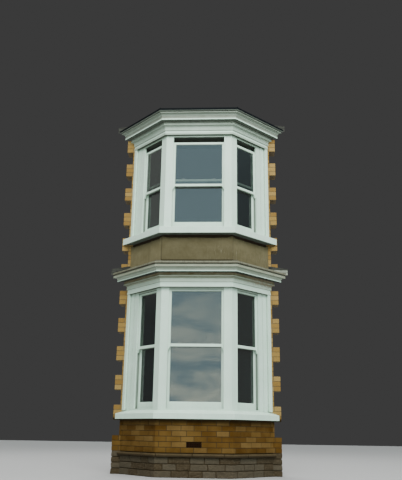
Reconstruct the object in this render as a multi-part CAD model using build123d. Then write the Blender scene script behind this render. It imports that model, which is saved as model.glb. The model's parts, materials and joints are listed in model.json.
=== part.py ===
"""A two-storey canted bay window, from the ground up.

X runs along the house wall with the bay's centre at 0, Y runs into the house with the wall's outer face at 0,
and Z is up from the ground. All sizes are in millimetres.

An "offset" is measured square to the bay's faces, outwards from the face of the architrave; a negative offset
lies behind that face. A "face" is one of the bay's three sides, with axes of its own: x along the face,
y inwards from the architrave's face, and z up.
"""

import math
import os
from dataclasses import dataclass

from build123d import *

# Plan of the bay, the same on both storeys
FRONT_HALF = 600  # half the front face, between the architrave's arrises
BAY_DEPTH = 650  # from the wall to the front face
CANT_ANGLE = 45
WALL_THICK = 195  # framed walls, from the architrave's face to the room
POST_RECESS = 45  # the posts' faces lie this far behind the architrave
CORNER_POST_FACE = 130  # a corner post's width on each side of its arris
WALL_POST_FACE = 265  # from the cant's opening to the wall, along the architrave's face
STRIP_WIDTH = 58  # the strip that a wall post brings out to the architrave's face
BOARD_STEP = 6  # between a wall post's two boards

# Brickwork
BRICK_LENGTH = 222
BRICK_HEIGHT = 73
BRICK_WIDTH = 107
JOINT = 8
PLINTH_COURSES = 6
BED_ON_PLINTH = 15
QUOIN_MARGIN = 25  # the narrow blocks' width outside the end of the bay's wall
QUOIN_BLOCK_COURSES = 3

# Air brick
AIR_BRICK_COURSE = 1  # courses below it
AIR_HOLE = 15
AIR_HOLE_COLUMNS = 8
AIR_HOLE_ROWS = 2
AIR_RIM_SHARE = 0.5  # the solid rim round the holes, as a share of their spacing

# Stone base
BASE_HEIGHT = 355
BASE_THICK = 330
LEDGE = 35
LEDGE_HEIGHT = 60
LEDGE_WEATHERING = 12
SLEEPER_FRONT = 60  # under the bay's mouth, the footing comes this far in front of the wall's face

# Window bands
SILL_HEIGHT = 156  # from a sill's underside to the foot of the sashes
SUBSILL = 22
SILL_GROOVE = 10
SILL_ARRIS = 6
HEAD_LINING = 29
LINING_THICK = 30
LINING_LAP = 12  # the linings stand this far over the pulley stiles
STILE_BOARD = 28
PARTING_BEAD = 8
PARTING_BEAD_DEPTH = 10
STAFF_BEAD = 16
LOWER_WINDOW = 1941  # from the foot of the sashes to the architrave
UPPER_WINDOW = 1716
UPPER_SASH_DROP = 104  # the outer sashes upstairs stand lowered by this much
LOWER_NOSING = 81
LOWER_SILL_REACH = 76
UPPER_NOSING = 104
UPPER_SILL_REACH = 93

# Sashes
SASH_THICK = 42
SIDE_GAP = 1.5  # between a sash and its pulley stiles
STILE = 50
TOP_RAIL = 45
BOTTOM_RAIL = 108
MEETING_RAIL = 46
REBATE = 9  # the glass sits this far into the sash members
GLASS_THICK = 4
PUTTY = 12  # depth of the putty in front of the glass
PUTTY_EDGE = 2
ROOM_SPLAY = 8  # bevel round the daylight on the room side
HORN_LENGTH = 62
HORN_THICK = 30
HORN_TIP = 15
HORN_BELLY = (0.45, 0.6)  # the curve's middle, as shares of the stile's width and the horn's length
FASTENER_SPREAD = 250  # from the window's centre to each sash fastener
FASTENER_LENGTH = 60
FASTENER_WIDTH = 22
FASTENER_PLATE = 4
FASTENER_BOSS = 17
FASTENER_BOSS_TAPER = 8
FASTENER_STAND = 11  # the height of the boss, and of the knob on the lever
FASTENER_LEVER = (48, 13)  # length and width
FASTENER_KNOB = 11

# Mouldings: heights from the foot of each entablature upwards, and reaches as offsets
BEAD_REACH = 7
FASCIA_REACH = 2
BAND_REACH = 14
BED_FOOT_REACH = 18
BED_REACH = 50
FILLET_REACH = 57
CORONA_REACH = 137
COVE_REACH = 180
CROWN_REACH = 190
COVE_SAG = 0.2  # how far a hollow curve bends away from its chord, as a share of the chord
LEDGE_SET_BACK = 12  # the dark gap under each roof's edge
QUIRK = 4  # height of the small splays between plain members
LOWER_BEAD = 32
LOWER_FASCIA = 46
LOWER_BAND = 60
LOWER_BED = 24
LOWER_FILLET = 20
LOWER_NECK = 48
LOWER_CORONA = 34
LOWER_COVE = 34
LOWER_CROWN = 36
LOWER_GAP = 21
UPPER_BEAD = 36
UPPER_FASCIA = 38
UPPER_BAND = 65
UPPER_BED = 23
UPPER_FILLET = 31
UPPER_NECK = 35
UPPER_CORONA = 43
UPPER_COVE = 65
UPPER_CROWN = 20
UPPER_GAP = 11

# Panel between the storeys
APRON_HEIGHT = 556
APRON_SET_BACK = 15  # the render's face, behind the architrave's
RENDER_THICK = 22
RENDER_HEAD_GAP = 34

# Roofs
LEAD_EDGE_REACH = 202
LEAD_EDGE = 42
LEAD_DRIP = 8
LEAD_RISE = 92  # from the cornice to the render's foot
ROOF_EDGE_REACH = 218
ROOF_EDGE = 44
ROOF_PITCH = 10
ROOF_SHELL = 60
ROOF_RIDGE_HALF = 328
HIP_ROLL = 16
FLASHING_THICK = 3
FLASHING_HEIGHT = 75
FLASHING_PAST = 25  # past the roof's edge along the wall

# Floors and room side
FLOOR_BOARDS = 22
JOIST_DEPTH = 150
JOIST_WIDTH = 50
JOISTS = 5
CEILING_RISE = 30  # above the architrave's foot
CEILING_THICK = 15
WINDOW_BOARD_THICK = 25
WINDOW_BOARD_PROJECTION = 60

# Values that follow from the sizes above
SLANT = math.radians(CANT_ANGLE)
MITRE = math.tan(SLANT / 2)
COURSE = BRICK_HEIGHT + JOINT
WALL_HALF = FRONT_HALF + BAY_DEPTH / math.tan(SLANT)
CANT_LENGTH = BAY_DEPTH / math.sin(SLANT)
CORNER_POST_END = POST_RECESS * MITRE + CORNER_POST_FACE
FRONT_OPENING = 2 * (FRONT_HALF - CORNER_POST_END)
CANT_OPENING = CANT_LENGTH - CORNER_POST_END - WALL_POST_FACE
CANT_CENTRE = CORNER_POST_END + CANT_OPENING / 2
LINING_BACK = POST_RECESS + LINING_THICK
OUTER_SASH_BACK = LINING_BACK + SASH_THICK
INNER_SASH_FRONT = OUTER_SASH_BACK + PARTING_BEAD
INNER_SASH_BACK = INNER_SASH_FRONT + SASH_THICK
JAMB = LINING_LAP + STILE_BOARD  # from the opening's edge to the back of the pulley stile
QUOIN_NARROW = WALL_HALF + QUOIN_MARGIN
QUOIN_INNER = QUOIN_NARROW - BRICK_LENGTH
QUOIN_WIDE = QUOIN_NARROW + BRICK_WIDTH + JOINT
OPENINGS = {"front": FRONT_OPENING, "left": CANT_OPENING, "right": CANT_OPENING}


@dataclass
class Storey:
    """One storey's window band and the entablature over it, by height."""

    name: str
    sill_foot: float
    nosing: float
    sill_reach: float
    window: float
    sash_drop: float
    bead: float
    fascia: float
    band: float
    bed: float
    fillet: float
    neck: float
    corona: float
    cove: float
    crown: float
    gap: float

    @property
    def sash_foot(self):
        return self.sill_foot + SILL_HEIGHT

    @property
    def sill_top(self):
        return self.sash_foot - SUBSILL

    @property
    def architrave_foot(self):
        return self.sash_foot + self.window

    @property
    def lining_foot(self):
        return self.architrave_foot - HEAD_LINING

    @property
    def soffit(self):
        return self.lining_foot + LINING_LAP

    @property
    def meeting_foot(self):
        """Underside of the meeting rails with the sashes shut, where both panes have the same height."""
        daylight = self.soffit - self.sash_foot - TOP_RAIL - MEETING_RAIL - BOTTOM_RAIL
        return self.sash_foot + BOTTOM_RAIL + daylight / 2

    @property
    def cornice_foot(self):
        return self.architrave_foot + self.bead + self.fascia + self.band + self.bed + self.fillet + self.neck

    @property
    def roof_foot(self):
        return self.cornice_foot + self.corona + self.cove + self.crown + self.gap

    @property
    def outer_sash(self):
        """The outer sashes' foot and head."""
        return (self.meeting_foot - self.sash_drop, self.soffit - self.sash_drop)

    @property
    def inner_sash(self):
        """The inner sashes' foot and head."""
        return (self.sash_foot, self.meeting_foot + MEETING_RAIL)


LOWER = Storey(
    name="lower",
    sill_foot=BASE_HEIGHT + PLINTH_COURSES * COURSE + BED_ON_PLINTH,
    nosing=LOWER_NOSING,
    sill_reach=LOWER_SILL_REACH,
    window=LOWER_WINDOW,
    sash_drop=0,
    bead=LOWER_BEAD,
    fascia=LOWER_FASCIA,
    band=LOWER_BAND,
    bed=LOWER_BED,
    fillet=LOWER_FILLET,
    neck=LOWER_NECK,
    corona=LOWER_CORONA,
    cove=LOWER_COVE,
    crown=LOWER_CROWN,
    gap=LOWER_GAP,
)
UPPER = Storey(
    name="upper",
    sill_foot=LOWER.roof_foot + APRON_HEIGHT,
    nosing=UPPER_NOSING,
    sill_reach=UPPER_SILL_REACH,
    window=UPPER_WINDOW,
    sash_drop=UPPER_SASH_DROP,
    bead=UPPER_BEAD,
    fascia=UPPER_FASCIA,
    band=UPPER_BAND,
    bed=UPPER_BED,
    fillet=UPPER_FILLET,
    neck=UPPER_NECK,
    corona=UPPER_CORONA,
    cove=UPPER_COVE,
    crown=UPPER_CROWN,
    gap=UPPER_GAP,
)
GROUND_FLOOR_TOP = BASE_HEIGHT + JOIST_DEPTH + FLOOR_BOARDS
FIRST_FLOOR_TOP = LOWER.roof_foot + JOIST_DEPTH + FLOOR_BOARDS
LEAD_TOP = LOWER.roof_foot + LEAD_RISE
QUOIN_COURSES = math.ceil((UPPER.roof_foot - BASE_HEIGHT) / COURSE)
QUOIN_TOP = BASE_HEIGHT + QUOIN_COURSES * COURSE
ROOF_EAVES = UPPER.roof_foot + ROOF_EDGE
ROOF_RISE = (BAY_DEPTH + ROOF_EDGE_REACH) * math.tan(math.radians(ROOF_PITCH))


# Plan geometry
def ring_points(offset):
    """The bay's outline at one offset, from the right end at the wall round to the left end."""
    end = WALL_HALF + offset / math.sin(SLANT)
    corner = FRONT_HALF + offset * MITRE
    front = -(BAY_DEPTH + offset)
    return [(end, 0), (corner, front), (-corner, front), (-end, 0)]


def cant_point(along, inwards):
    """A plan point on the right cant, along it from the architrave's arris and inwards from its face."""
    x = FRONT_HALF + along * math.cos(SLANT) - inwards * math.sin(SLANT)
    y = -BAY_DEPTH + along * math.sin(SLANT) + inwards * math.cos(SLANT)
    return (x, y)


def front_point(x, inwards):
    """A plan point behind the front face."""
    return (x, -BAY_DEPTH + inwards)


def face_axes(name):
    """A face's own axes: x along it from its opening's middle, y inwards, z from the ground."""
    if name == "front":
        return Plane(origin=(0, -BAY_DEPTH, 0), x_dir=(1, 0, 0), z_dir=(0, 0, 1)).location
    side = 1 if name == "right" else -1
    x, y = cant_point(CANT_CENTRE, 0)
    along = (math.cos(SLANT), side * math.sin(SLANT), 0)
    return Plane(origin=(side * x, y, 0), x_dir=along, z_dir=(0, 0, 1)).location


def prism(points, bottom, top):
    """A solid with a polygon for its plan."""
    plan = make_face(Polyline(*points, close=True))
    return extrude(Plane.XY.offset(bottom) * plan, amount=top - bottom)


def ring(outer, inner, bottom, top):
    """A wall round the bay between two offsets, open to the house."""
    return prism(ring_points(outer) + ring_points(inner)[::-1], bottom, top)


def slab(offset, bottom, top):
    """The bay's whole plan out to one offset."""
    return prism(ring_points(offset), bottom, top)


def box_between(x_range, y_range, z_range):
    """A box from its limits on each axis."""
    sizes = [high - low for low, high in (x_range, y_range, z_range)]
    return Pos(x_range[0], y_range[0], z_range[0]) * Box(*sizes, align=(Align.MIN, Align.MIN, Align.MIN))


def in_front_of_wall(solid):
    """What is left of a solid in front of the house wall."""
    reach = 2 * UPPER.roof_foot
    return solid - box_between((-reach, reach), (0, reach), (-reach, reach))


def moulding(section):
    """Runs a closed section of (offset, height) lines round the bay, mitred, and cut off at the wall."""
    past = 2 * WALL_THICK
    right_end, right_corner, left_corner, left_end = ring_points(0)
    run = [(right_end[0] + past, past), right_corner, left_corner, (left_end[0] - past, past)]
    start = Plane(origin=(*run[0], 0), x_dir=(1, -1, 0), z_dir=(-1, -1, 0))
    swept = sweep(start * make_face(section), path=Polyline(*run), transition=Transition.RIGHT)
    return in_front_of_wall(swept)


def cove(start, end):
    """A hollow curve between two points of a section, standing up from the first and out to the second."""
    middle_x = (start[0] + end[0]) / 2 - COVE_SAG * (end[1] - start[1])
    middle_y = (start[1] + end[1]) / 2 + COVE_SAG * (end[0] - start[0])
    return ThreePointArc(start, (middle_x, middle_y), end)


def both_sides(right):
    """One solid on each side of the bay, as mirror images."""
    return Compound(children=[right, mirror(right, about=Plane.YZ)])


def on_each_face(make, storey):
    """One piece for each of a storey's three openings."""
    return Compound(children=[face_axes(name) * make(storey, opening) for name, opening in OPENINGS.items()])


# Base and brickwork
def stone_base():
    """The stone course under the bay, with a weathered ledge and the house wall's footing behind it."""
    ledge_foot = BASE_HEIGHT - LEDGE_HEIGHT
    section = Polyline(
        (-BASE_THICK, 0),
        (0, 0),
        (0, ledge_foot),
        (LEDGE, ledge_foot),
        (LEDGE, BASE_HEIGHT - LEDGE_WEATHERING),
        (0, BASE_HEIGHT),
        (-BASE_THICK, BASE_HEIGHT),
        close=True,
    )
    footing = box_between((-QUOIN_WIDE, QUOIN_WIDE), (0, BRICK_LENGTH), (0, BASE_HEIGHT))
    sleeper = box_between((-QUOIN_INNER, QUOIN_INNER), (-SLEEPER_FRONT, 0), (0, BASE_HEIGHT))
    return moulding(section) + footing + sleeper


def air_brick_block():
    """The space that the air brick fills in the front of the plinth."""
    foot = BASE_HEIGHT + AIR_BRICK_COURSE * COURSE
    half = BRICK_LENGTH / 2
    depth = (-BAY_DEPTH, -BAY_DEPTH + BRICK_WIDTH)
    return box_between((-half, half), depth, (foot, foot + BRICK_HEIGHT))


def brick_plinth():
    """The brick courses on the base, one brick thick, with the air brick's pocket and the duct behind it."""
    foot = BASE_HEIGHT + AIR_BRICK_COURSE * COURSE
    half = BRICK_LENGTH / 2 - JOINT
    depth = (-BAY_DEPTH, -BAY_DEPTH + BRICK_LENGTH)
    duct = box_between((-half, half), depth, (foot + JOINT, foot + BRICK_HEIGHT - JOINT))
    return ring(0, -BRICK_LENGTH, BASE_HEIGHT, LOWER.sill_foot) - air_brick_block() - duct


def air_brick():
    """A terracotta block with rows of square holes through it."""
    middle = BASE_HEIGHT + AIR_BRICK_COURSE * COURSE + BRICK_HEIGHT / 2
    front = Plane(origin=(0, -BAY_DEPTH, middle), x_dir=(1, 0, 0), z_dir=(0, 1, 0))
    spacing_x = BRICK_LENGTH / (AIR_HOLE_COLUMNS + AIR_RIM_SHARE)
    spacing_z = BRICK_HEIGHT / (AIR_HOLE_ROWS + AIR_RIM_SHARE)
    places = GridLocations(spacing_x, spacing_z, AIR_HOLE_COLUMNS, AIR_HOLE_ROWS)
    holes = places * Rectangle(AIR_HOLE, AIR_HOLE)
    return air_brick_block() - extrude(front * Sketch(children=holes), amount=BRICK_WIDTH)


def quoin_pier():
    """The right-hand pier of the bay's mouth, as far out as its narrow blocks."""
    return box_between((QUOIN_INNER, QUOIN_NARROW), (0, BRICK_LENGTH), (BASE_HEIGHT, QUOIN_TOP))


def quoin_teeth():
    """The blocks that key the right-hand pier into the wall: three courses out, three courses back."""
    teeth = []
    for course in range(0, QUOIN_COURSES, 2 * QUOIN_BLOCK_COURSES):
        foot = BASE_HEIGHT + course * COURSE
        head = min(foot + QUOIN_BLOCK_COURSES * COURSE, QUOIN_TOP)
        teeth.append(box_between((QUOIN_NARROW, QUOIN_WIDE), (0, BRICK_LENGTH), (foot, head)))
    return Compound(children=teeth)


# Timber framing
def corner_post(storey):
    """The right corner post: a facing that laps the window boxes on both sides, on a narrower body."""
    opening = FRONT_OPENING / 2
    plan = [
        front_point(opening, POST_RECESS),
        cant_point(POST_RECESS * MITRE, POST_RECESS),
        cant_point(CORNER_POST_END, POST_RECESS),
        cant_point(CORNER_POST_END, LINING_BACK),
        cant_point(CORNER_POST_END - JAMB, LINING_BACK),
        cant_point(CORNER_POST_END - JAMB, WALL_THICK),
        cant_point(WALL_THICK * MITRE, WALL_THICK),
        front_point(opening + JAMB, WALL_THICK),
        front_point(opening + JAMB, LINING_BACK),
        front_point(opening, LINING_BACK),
    ]
    return prism(plan, storey.sill_top, storey.architrave_foot)


def wall_post(storey):
    """The right wall post: two boards with a fine step between them, and a strip brought out at the wall."""
    near = CORNER_POST_END + CANT_OPENING
    strip = CANT_LENGTH - STRIP_WIDTH
    joint = (near + strip) / 2
    plan = [
        cant_point(near, POST_RECESS),
        cant_point(joint, POST_RECESS),
        cant_point(joint, POST_RECESS - BOARD_STEP),
        cant_point(strip, POST_RECESS - BOARD_STEP),
        cant_point(strip, 0),
        cant_point(CANT_LENGTH, 0),
        cant_point(CANT_LENGTH - WALL_THICK, WALL_THICK),
        cant_point(near + JAMB, WALL_THICK),
        cant_point(near + JAMB, LINING_BACK),
        cant_point(near, LINING_BACK),
    ]
    return prism(plan, storey.sill_top, storey.architrave_foot)


def sill(storey):
    """A projecting sill: square nose, drip groove underneath and a weathered top back to the posts."""
    foot = storey.sill_foot
    reach = storey.sill_reach
    section = Polyline(
        (reach, foot),
        (reach, foot + storey.nosing),
        (reach - SILL_ARRIS, foot + storey.nosing + SILL_ARRIS),
        (-POST_RECESS, storey.sill_top),
        (-WALL_THICK, storey.sill_top),
        (-WALL_THICK, foot),
        (reach - 3 * SILL_GROOVE, foot),
        (reach - 3 * SILL_GROOVE, foot + SILL_GROOVE),
        (reach - 2 * SILL_GROOVE, foot + SILL_GROOVE),
        (reach - 2 * SILL_GROOVE, foot),
        close=True,
    )
    return moulding(section)


def window_board(storey):
    """The room-side board against the sill's inner edge."""
    inner = -WALL_THICK - WINDOW_BOARD_PROJECTION
    return ring(-WALL_THICK, inner, storey.sash_foot - WINDOW_BOARD_THICK, storey.sash_foot)


def lintel(storey):
    """The beam over the window band, up to the roof above it."""
    return ring(0, -WALL_THICK, storey.architrave_foot, storey.roof_foot)


# Windows
def window_box(storey, opening):
    """A sash box: head lining, pulley stiles, head, subsill, parting beads and staff beads."""
    edge = opening / 2
    pulley_face = edge + LINING_LAP
    back = edge + JAMB
    box = box_between((-edge, edge), (POST_RECESS, LINING_BACK), (storey.lining_foot, storey.architrave_foot))
    box += box_between((-edge, edge), (POST_RECESS, LINING_BACK), (storey.sill_top, storey.sash_foot))
    box += box_between((-back, back), (LINING_BACK, WALL_THICK), (storey.soffit, storey.architrave_foot))
    box += box_between((-back, back), (LINING_BACK, WALL_THICK), (storey.sill_top, storey.sash_foot))
    stile = box_between((pulley_face, back), (LINING_BACK, WALL_THICK), (storey.sash_foot, storey.soffit))
    bead_edge = pulley_face - PARTING_BEAD_DEPTH
    for front, thick in ((OUTER_SASH_BACK, PARTING_BEAD), (INNER_SASH_BACK, STAFF_BEAD)):
        depth = (front, front + thick)
        stile += box_between((bead_edge, pulley_face), depth, (storey.sash_foot, storey.soffit))
    head_bead = box_between(
        (-bead_edge, bead_edge),
        (INNER_SASH_BACK, INNER_SASH_BACK + STAFF_BEAD),
        (storey.soffit - PARTING_BEAD_DEPTH, storey.soffit),
    )
    return box + stile + mirror(stile, about=Plane.YZ) + head_bead


def sash_width(opening):
    """A sash fills the space between its pulley stiles, less a gap at each side."""
    return opening + 2 * LINING_LAP - 2 * SIDE_GAP


def sash(width, levels, front, bottom_rail, top_rail):
    """Two stiles and two rails, rebated for the glass outside and splayed round the daylight inside."""
    foot, head = levels
    half = width / 2
    back = front + SASH_THICK
    daylight_width = width - 2 * STILE
    daylight_height = head - foot - bottom_rail - top_rail
    middle_z = foot + bottom_rail + daylight_height / 2
    middle = Plane(origin=(0, back, middle_z), x_dir=(1, 0, 0), z_dir=(0, 1, 0))
    body = box_between((-half, half), (front, back), (foot, head))
    body -= extrude(middle * Rectangle(daylight_width, daylight_height), amount=-SASH_THICK)
    rebate = middle.offset(-SASH_THICK) * Rectangle(daylight_width + 2 * REBATE, daylight_height + 2 * REBATE)
    body -= extrude(rebate, amount=PUTTY + GLASS_THICK)
    splay = [
        middle.offset(-ROOM_SPLAY) * Rectangle(daylight_width, daylight_height),
        middle * Rectangle(daylight_width + 2 * ROOM_SPLAY, daylight_height + 2 * ROOM_SPLAY),
    ]
    return body - loft(splay)


def horn(width, level, front):
    """The curved end of the right stile, which runs on below the meeting rail."""
    outer = width / 2
    inner = outer - STILE
    tip = level - HORN_LENGTH
    straight = Polyline((inner, level), (outer, level), (outer, tip), (outer - HORN_TIP, tip))
    belly = (inner + STILE * HORN_BELLY[0], level - HORN_LENGTH * HORN_BELLY[1])
    curve = ThreePointArc((outer - HORN_TIP, tip), belly, (inner, level))
    side = Plane(origin=(0, front, 0), x_dir=(1, 0, 0), z_dir=(0, -1, 0)) * make_face(straight + curve)
    return extrude(side, amount=-HORN_THICK)


def outer_sash(storey, opening):
    """The sash behind the linings, with horns below and a lip back to the inner sash."""
    width = sash_width(opening)
    foot = storey.outer_sash[0]
    body = sash(width, storey.outer_sash, LINING_BACK, MEETING_RAIL, TOP_RAIL)
    lip_half = opening / 2 + LINING_LAP - PARTING_BEAD_DEPTH - SIDE_GAP
    lip_end = Plane(origin=(-lip_half, 0, 0), x_dir=(0, 1, 0), z_dir=(1, 0, 0))
    lip = Polyline(
        (OUTER_SASH_BACK, foot),
        (INNER_SASH_FRONT, foot + PARTING_BEAD),
        (INNER_SASH_FRONT, foot + MEETING_RAIL),
        (OUTER_SASH_BACK, foot + MEETING_RAIL),
        close=True,
    )
    body += extrude(lip_end * make_face(lip), amount=2 * lip_half)
    right_horn = horn(width, foot, LINING_BACK)
    return body + right_horn + mirror(right_horn, about=Plane.YZ)


def inner_sash(storey, opening):
    """The sash that stands on the subsill."""
    return sash(sash_width(opening), storey.inner_sash, INNER_SASH_FRONT, BOTTOM_RAIL, MEETING_RAIL)


def glazing_rectangle(opening, levels, bottom_rail, top_rail):
    """Half the width of a pane, and its foot and head: the daylight and the rebate round it."""
    half = sash_width(opening) / 2 - STILE + REBATE
    return half, levels[0] + bottom_rail - REBATE, levels[1] - top_rail + REBATE


def pane(opening, levels, front, bottom_rail, top_rail):
    """The glass at the back of a sash's rebate."""
    half, foot, head = glazing_rectangle(opening, levels, bottom_rail, top_rail)
    return box_between((-half, half), (front + PUTTY, front + PUTTY + GLASS_THICK), (foot, head))


def putty_run(opening, levels, front, bottom_rail, top_rail):
    """The putty bevel in front of a pane, as deep as the rebate at the glass."""
    half, foot, head = glazing_rectangle(opening, levels, bottom_rail, top_rail)
    outside = Plane(origin=(0, front, (foot + head) / 2), x_dir=(1, 0, 0), z_dir=(0, 1, 0))
    width = 2 * half
    height = head - foot
    bevel = loft([
        outside * Rectangle(width - 2 * PUTTY_EDGE, height - 2 * PUTTY_EDGE),
        outside.offset(PUTTY) * Rectangle(width - 2 * REBATE, height - 2 * REBATE),
    ])
    return box_between((-half, half), (front, front + PUTTY), (foot, head)) - bevel


def glazing(make, storey):
    """One piece for each of a storey's six panes."""
    pieces = []
    for name, opening in OPENINGS.items():
        outer = make(opening, storey.outer_sash, LINING_BACK, MEETING_RAIL, TOP_RAIL)
        inner = make(opening, storey.inner_sash, INNER_SASH_FRONT, BOTTOM_RAIL, MEETING_RAIL)
        pieces += [face_axes(name) * outer, face_axes(name) * inner]
    return Compound(children=pieces)


def sash_fastener(x, storey):
    """A cam fastener on the front window's inner meeting rail: base plate, boss, lever and knob."""
    turn = 1 if x > 0 else -1
    lever_middle = turn * (FASTENER_LEVER[0] - FASTENER_BOSS) / 2
    lever_end = turn * (FASTENER_LEVER[0] - FASTENER_BOSS)
    foot = Plane(origin=(x, INNER_SASH_FRONT + SASH_THICK / 2, storey.inner_sash[1]), z_dir=(0, 0, 1))
    plate = extrude(foot * SlotOverall(FASTENER_LENGTH, FASTENER_WIDTH), amount=FASTENER_PLATE)
    boss_foot = foot.offset(FASTENER_PLATE)
    boss = extrude(boss_foot * Circle(FASTENER_BOSS / 2), amount=FASTENER_STAND, taper=FASTENER_BOSS_TAPER)
    lever_foot = boss_foot.offset(FASTENER_STAND)
    lever = extrude(lever_foot * Pos(lever_middle, 0) * SlotOverall(*FASTENER_LEVER), amount=FASTENER_PLATE)
    knob_foot = lever_foot.offset(FASTENER_PLATE)
    knob = extrude(knob_foot * Pos(lever_end, 0) * Circle(FASTENER_KNOB / 2), amount=FASTENER_STAND)
    return plate + boss + lever + knob


def sash_fasteners():
    """Two fasteners on each storey's front window."""
    pieces = []
    for storey in (LOWER, UPPER):
        pieces += [face_axes("front") * sash_fastener(x, storey) for x in (-FASTENER_SPREAD, FASTENER_SPREAD)]
    return Compound(children=pieces)


# Entablatures
def frieze(storey):
    """Architrave bead, fascia, band, hollow bed mould, fillet and neck, up to the cornice's foot."""
    foot = storey.architrave_foot
    top = storey.cornice_foot
    fascia_foot = foot + storey.bead
    band_foot = fascia_foot + storey.fascia
    bed_foot = band_foot + storey.band
    fillet_foot = bed_foot + storey.bed
    neck_foot = fillet_foot + storey.fillet
    below = Polyline(
        (0, top),
        (0, foot),
        (BEAD_REACH, foot),
        (BEAD_REACH, fascia_foot),
        (FASCIA_REACH, fascia_foot + QUIRK),
        (FASCIA_REACH, band_foot),
        (BAND_REACH, band_foot + QUIRK),
        (BAND_REACH, bed_foot),
        (BED_FOOT_REACH, bed_foot),
    )
    bed = cove((BED_FOOT_REACH, bed_foot), (BED_REACH, fillet_foot))
    above = Polyline(
        (BED_REACH, fillet_foot),
        (FILLET_REACH, fillet_foot),
        (FILLET_REACH, neck_foot),
        (BED_REACH, neck_foot + QUIRK),
        (BED_REACH, top),
        (0, top),
    )
    return moulding(below + bed + above)


def cornice(storey):
    """Deep soffit, corona, cove and crown, with the shadow gap under the roof's edge."""
    foot = storey.cornice_foot
    top = storey.roof_foot
    cove_foot = foot + storey.corona
    crown_foot = cove_foot + storey.cove
    crown_top = crown_foot + storey.crown
    gap_reach = CROWN_REACH - LEDGE_SET_BACK
    below = Polyline((0, top), (0, foot), (CORONA_REACH, foot), (CORONA_REACH, cove_foot))
    hollow = cove((CORONA_REACH, cove_foot), (COVE_REACH, crown_foot))
    above = Polyline(
        (COVE_REACH, crown_foot),
        (CROWN_REACH, crown_foot),
        (CROWN_REACH, crown_top),
        (gap_reach, crown_top),
        (gap_reach, top),
        (0, top),
    )
    return moulding(below + hollow + above)


# Panel between the storeys
def apron_wall():
    """The framed wall between the storeys."""
    return ring(-APRON_SET_BACK - RENDER_THICK, -WALL_THICK, LOWER.roof_foot, UPPER.sill_foot)


def apron_render():
    """The render on the apron, from the lead ledge up to a dark gap under the sill."""
    face = -APRON_SET_BACK
    return ring(face, face - RENDER_THICK, LEAD_TOP, UPPER.sill_foot - RENDER_HEAD_GAP)


# Roofs
def roll(start, end):
    """A lead roll along a line on the roof."""
    run = end - start
    return extrude(Plane(origin=start, z_dir=run) * Circle(HIP_ROLL), amount=run.length)


def lead_level(offset):
    """The height of the lead's slope at an offset, from the drip edge up to the render."""
    eaves = LEAD_EDGE_REACH - LEAD_DRIP
    share = (eaves - offset) / (eaves + APRON_SET_BACK)
    return LOWER.roof_foot + LEAD_EDGE + share * (LEAD_RISE - LEAD_EDGE)


def lower_roof():
    """The lead-covered ledge over the lower cornice, with a drip edge and a roll on each mitre."""
    foot = LOWER.roof_foot
    edge = LEAD_EDGE_REACH
    back = -APRON_SET_BACK - RENDER_THICK
    section = Polyline(
        (back, foot),
        (edge - LEAD_DRIP, foot),
        (edge - LEAD_DRIP, foot - LEAD_DRIP),
        (edge, foot - LEAD_DRIP),
        (edge, foot + LEAD_EDGE - LEAD_DRIP),
        (edge - LEAD_DRIP, foot + LEAD_EDGE),
        (-APRON_SET_BACK, LEAD_TOP),
        (back, LEAD_TOP),
        close=True,
    )
    ledge = moulding(section)
    low_offset = edge - 2 * HIP_ROLL
    low_x, low_y = ring_points(low_offset)[1]
    high_x, high_y = ring_points(HIP_ROLL)[1]
    for side in (-1, 1):
        low_end = Vector(side * low_x, low_y, lead_level(low_offset))
        high_end = Vector(side * high_x, high_y, lead_level(HIP_ROLL))
        ledge += roll(low_end, high_end)
    return ledge


def hipped_solid(reach, eaves, ridge_half, ridge):
    """A closed hipped form from its eaves outline up to a ridge against the wall."""
    right_end, right_corner, left_corner, left_end = [Vector(x, y, eaves) for x, y in ring_points(reach)]
    right_top = Vector(ridge_half, 0, ridge)
    left_top = Vector(-ridge_half, 0, ridge)
    facets = [
        [right_end, right_corner, left_corner, left_end],
        [right_end, right_corner, right_top],
        [right_corner, left_corner, left_top, right_top],
        [left_corner, left_end, left_top],
        [right_end, right_top, left_top, left_end],
    ]
    return Solid(Shell([Face(Wire.make_polygon(facet, close=True)) for facet in facets]))


def upper_roof():
    """The low hipped roof with its square edge, hollow behind the walls, and a roll on each hip."""
    slope = math.tan(math.radians(ROOF_PITCH))
    ridge = ROOF_EAVES + ROOF_RISE
    outside = hipped_solid(ROOF_EDGE_REACH, ROOF_EAVES, ROOF_RIDGE_HALF, ridge)
    hollow_eaves = UPPER.roof_foot
    hollow_ridge = ridge - ROOF_SHELL / math.cos(math.radians(ROOF_PITCH))
    hollow_front = (hollow_ridge - hollow_eaves) / slope
    hollow_reach = min(hollow_front - BAY_DEPTH, -WALL_THICK)
    hollow_top = hollow_eaves + (BAY_DEPTH + hollow_reach) * slope
    hollow = hipped_solid(hollow_reach, hollow_eaves, ROOF_RIDGE_HALF, hollow_top)
    roof = slab(ROOF_EDGE_REACH, UPPER.roof_foot, ROOF_EAVES) + outside - hollow
    corner_x, corner_y = ring_points(ROOF_EDGE_REACH - HIP_ROLL)[1]
    for side in (-1, 1):
        eaves_end = Vector(side * corner_x, corner_y, ROOF_EAVES)
        wall_end = Vector(side * ROOF_RIDGE_HALF, 0, ridge)
        beyond = wall_end + (wall_end - eaves_end).normalized() * WALL_THICK
        roof += in_front_of_wall(roll(eaves_end, beyond))
    return roof


def upstand(points, roof):
    """Lead turned up the wall behind a roof, from a line of (x, z) points along its top."""
    below = [(x, z - FLASHING_HEIGHT / 2) for x, z in points]
    above = [(x, z + FLASHING_HEIGHT) for x, z in reversed(points)]
    sheet = extrude(Plane.XZ * make_face(Polyline(*below, *above, close=True)), amount=FLASHING_THICK)
    return sheet - roof


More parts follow.
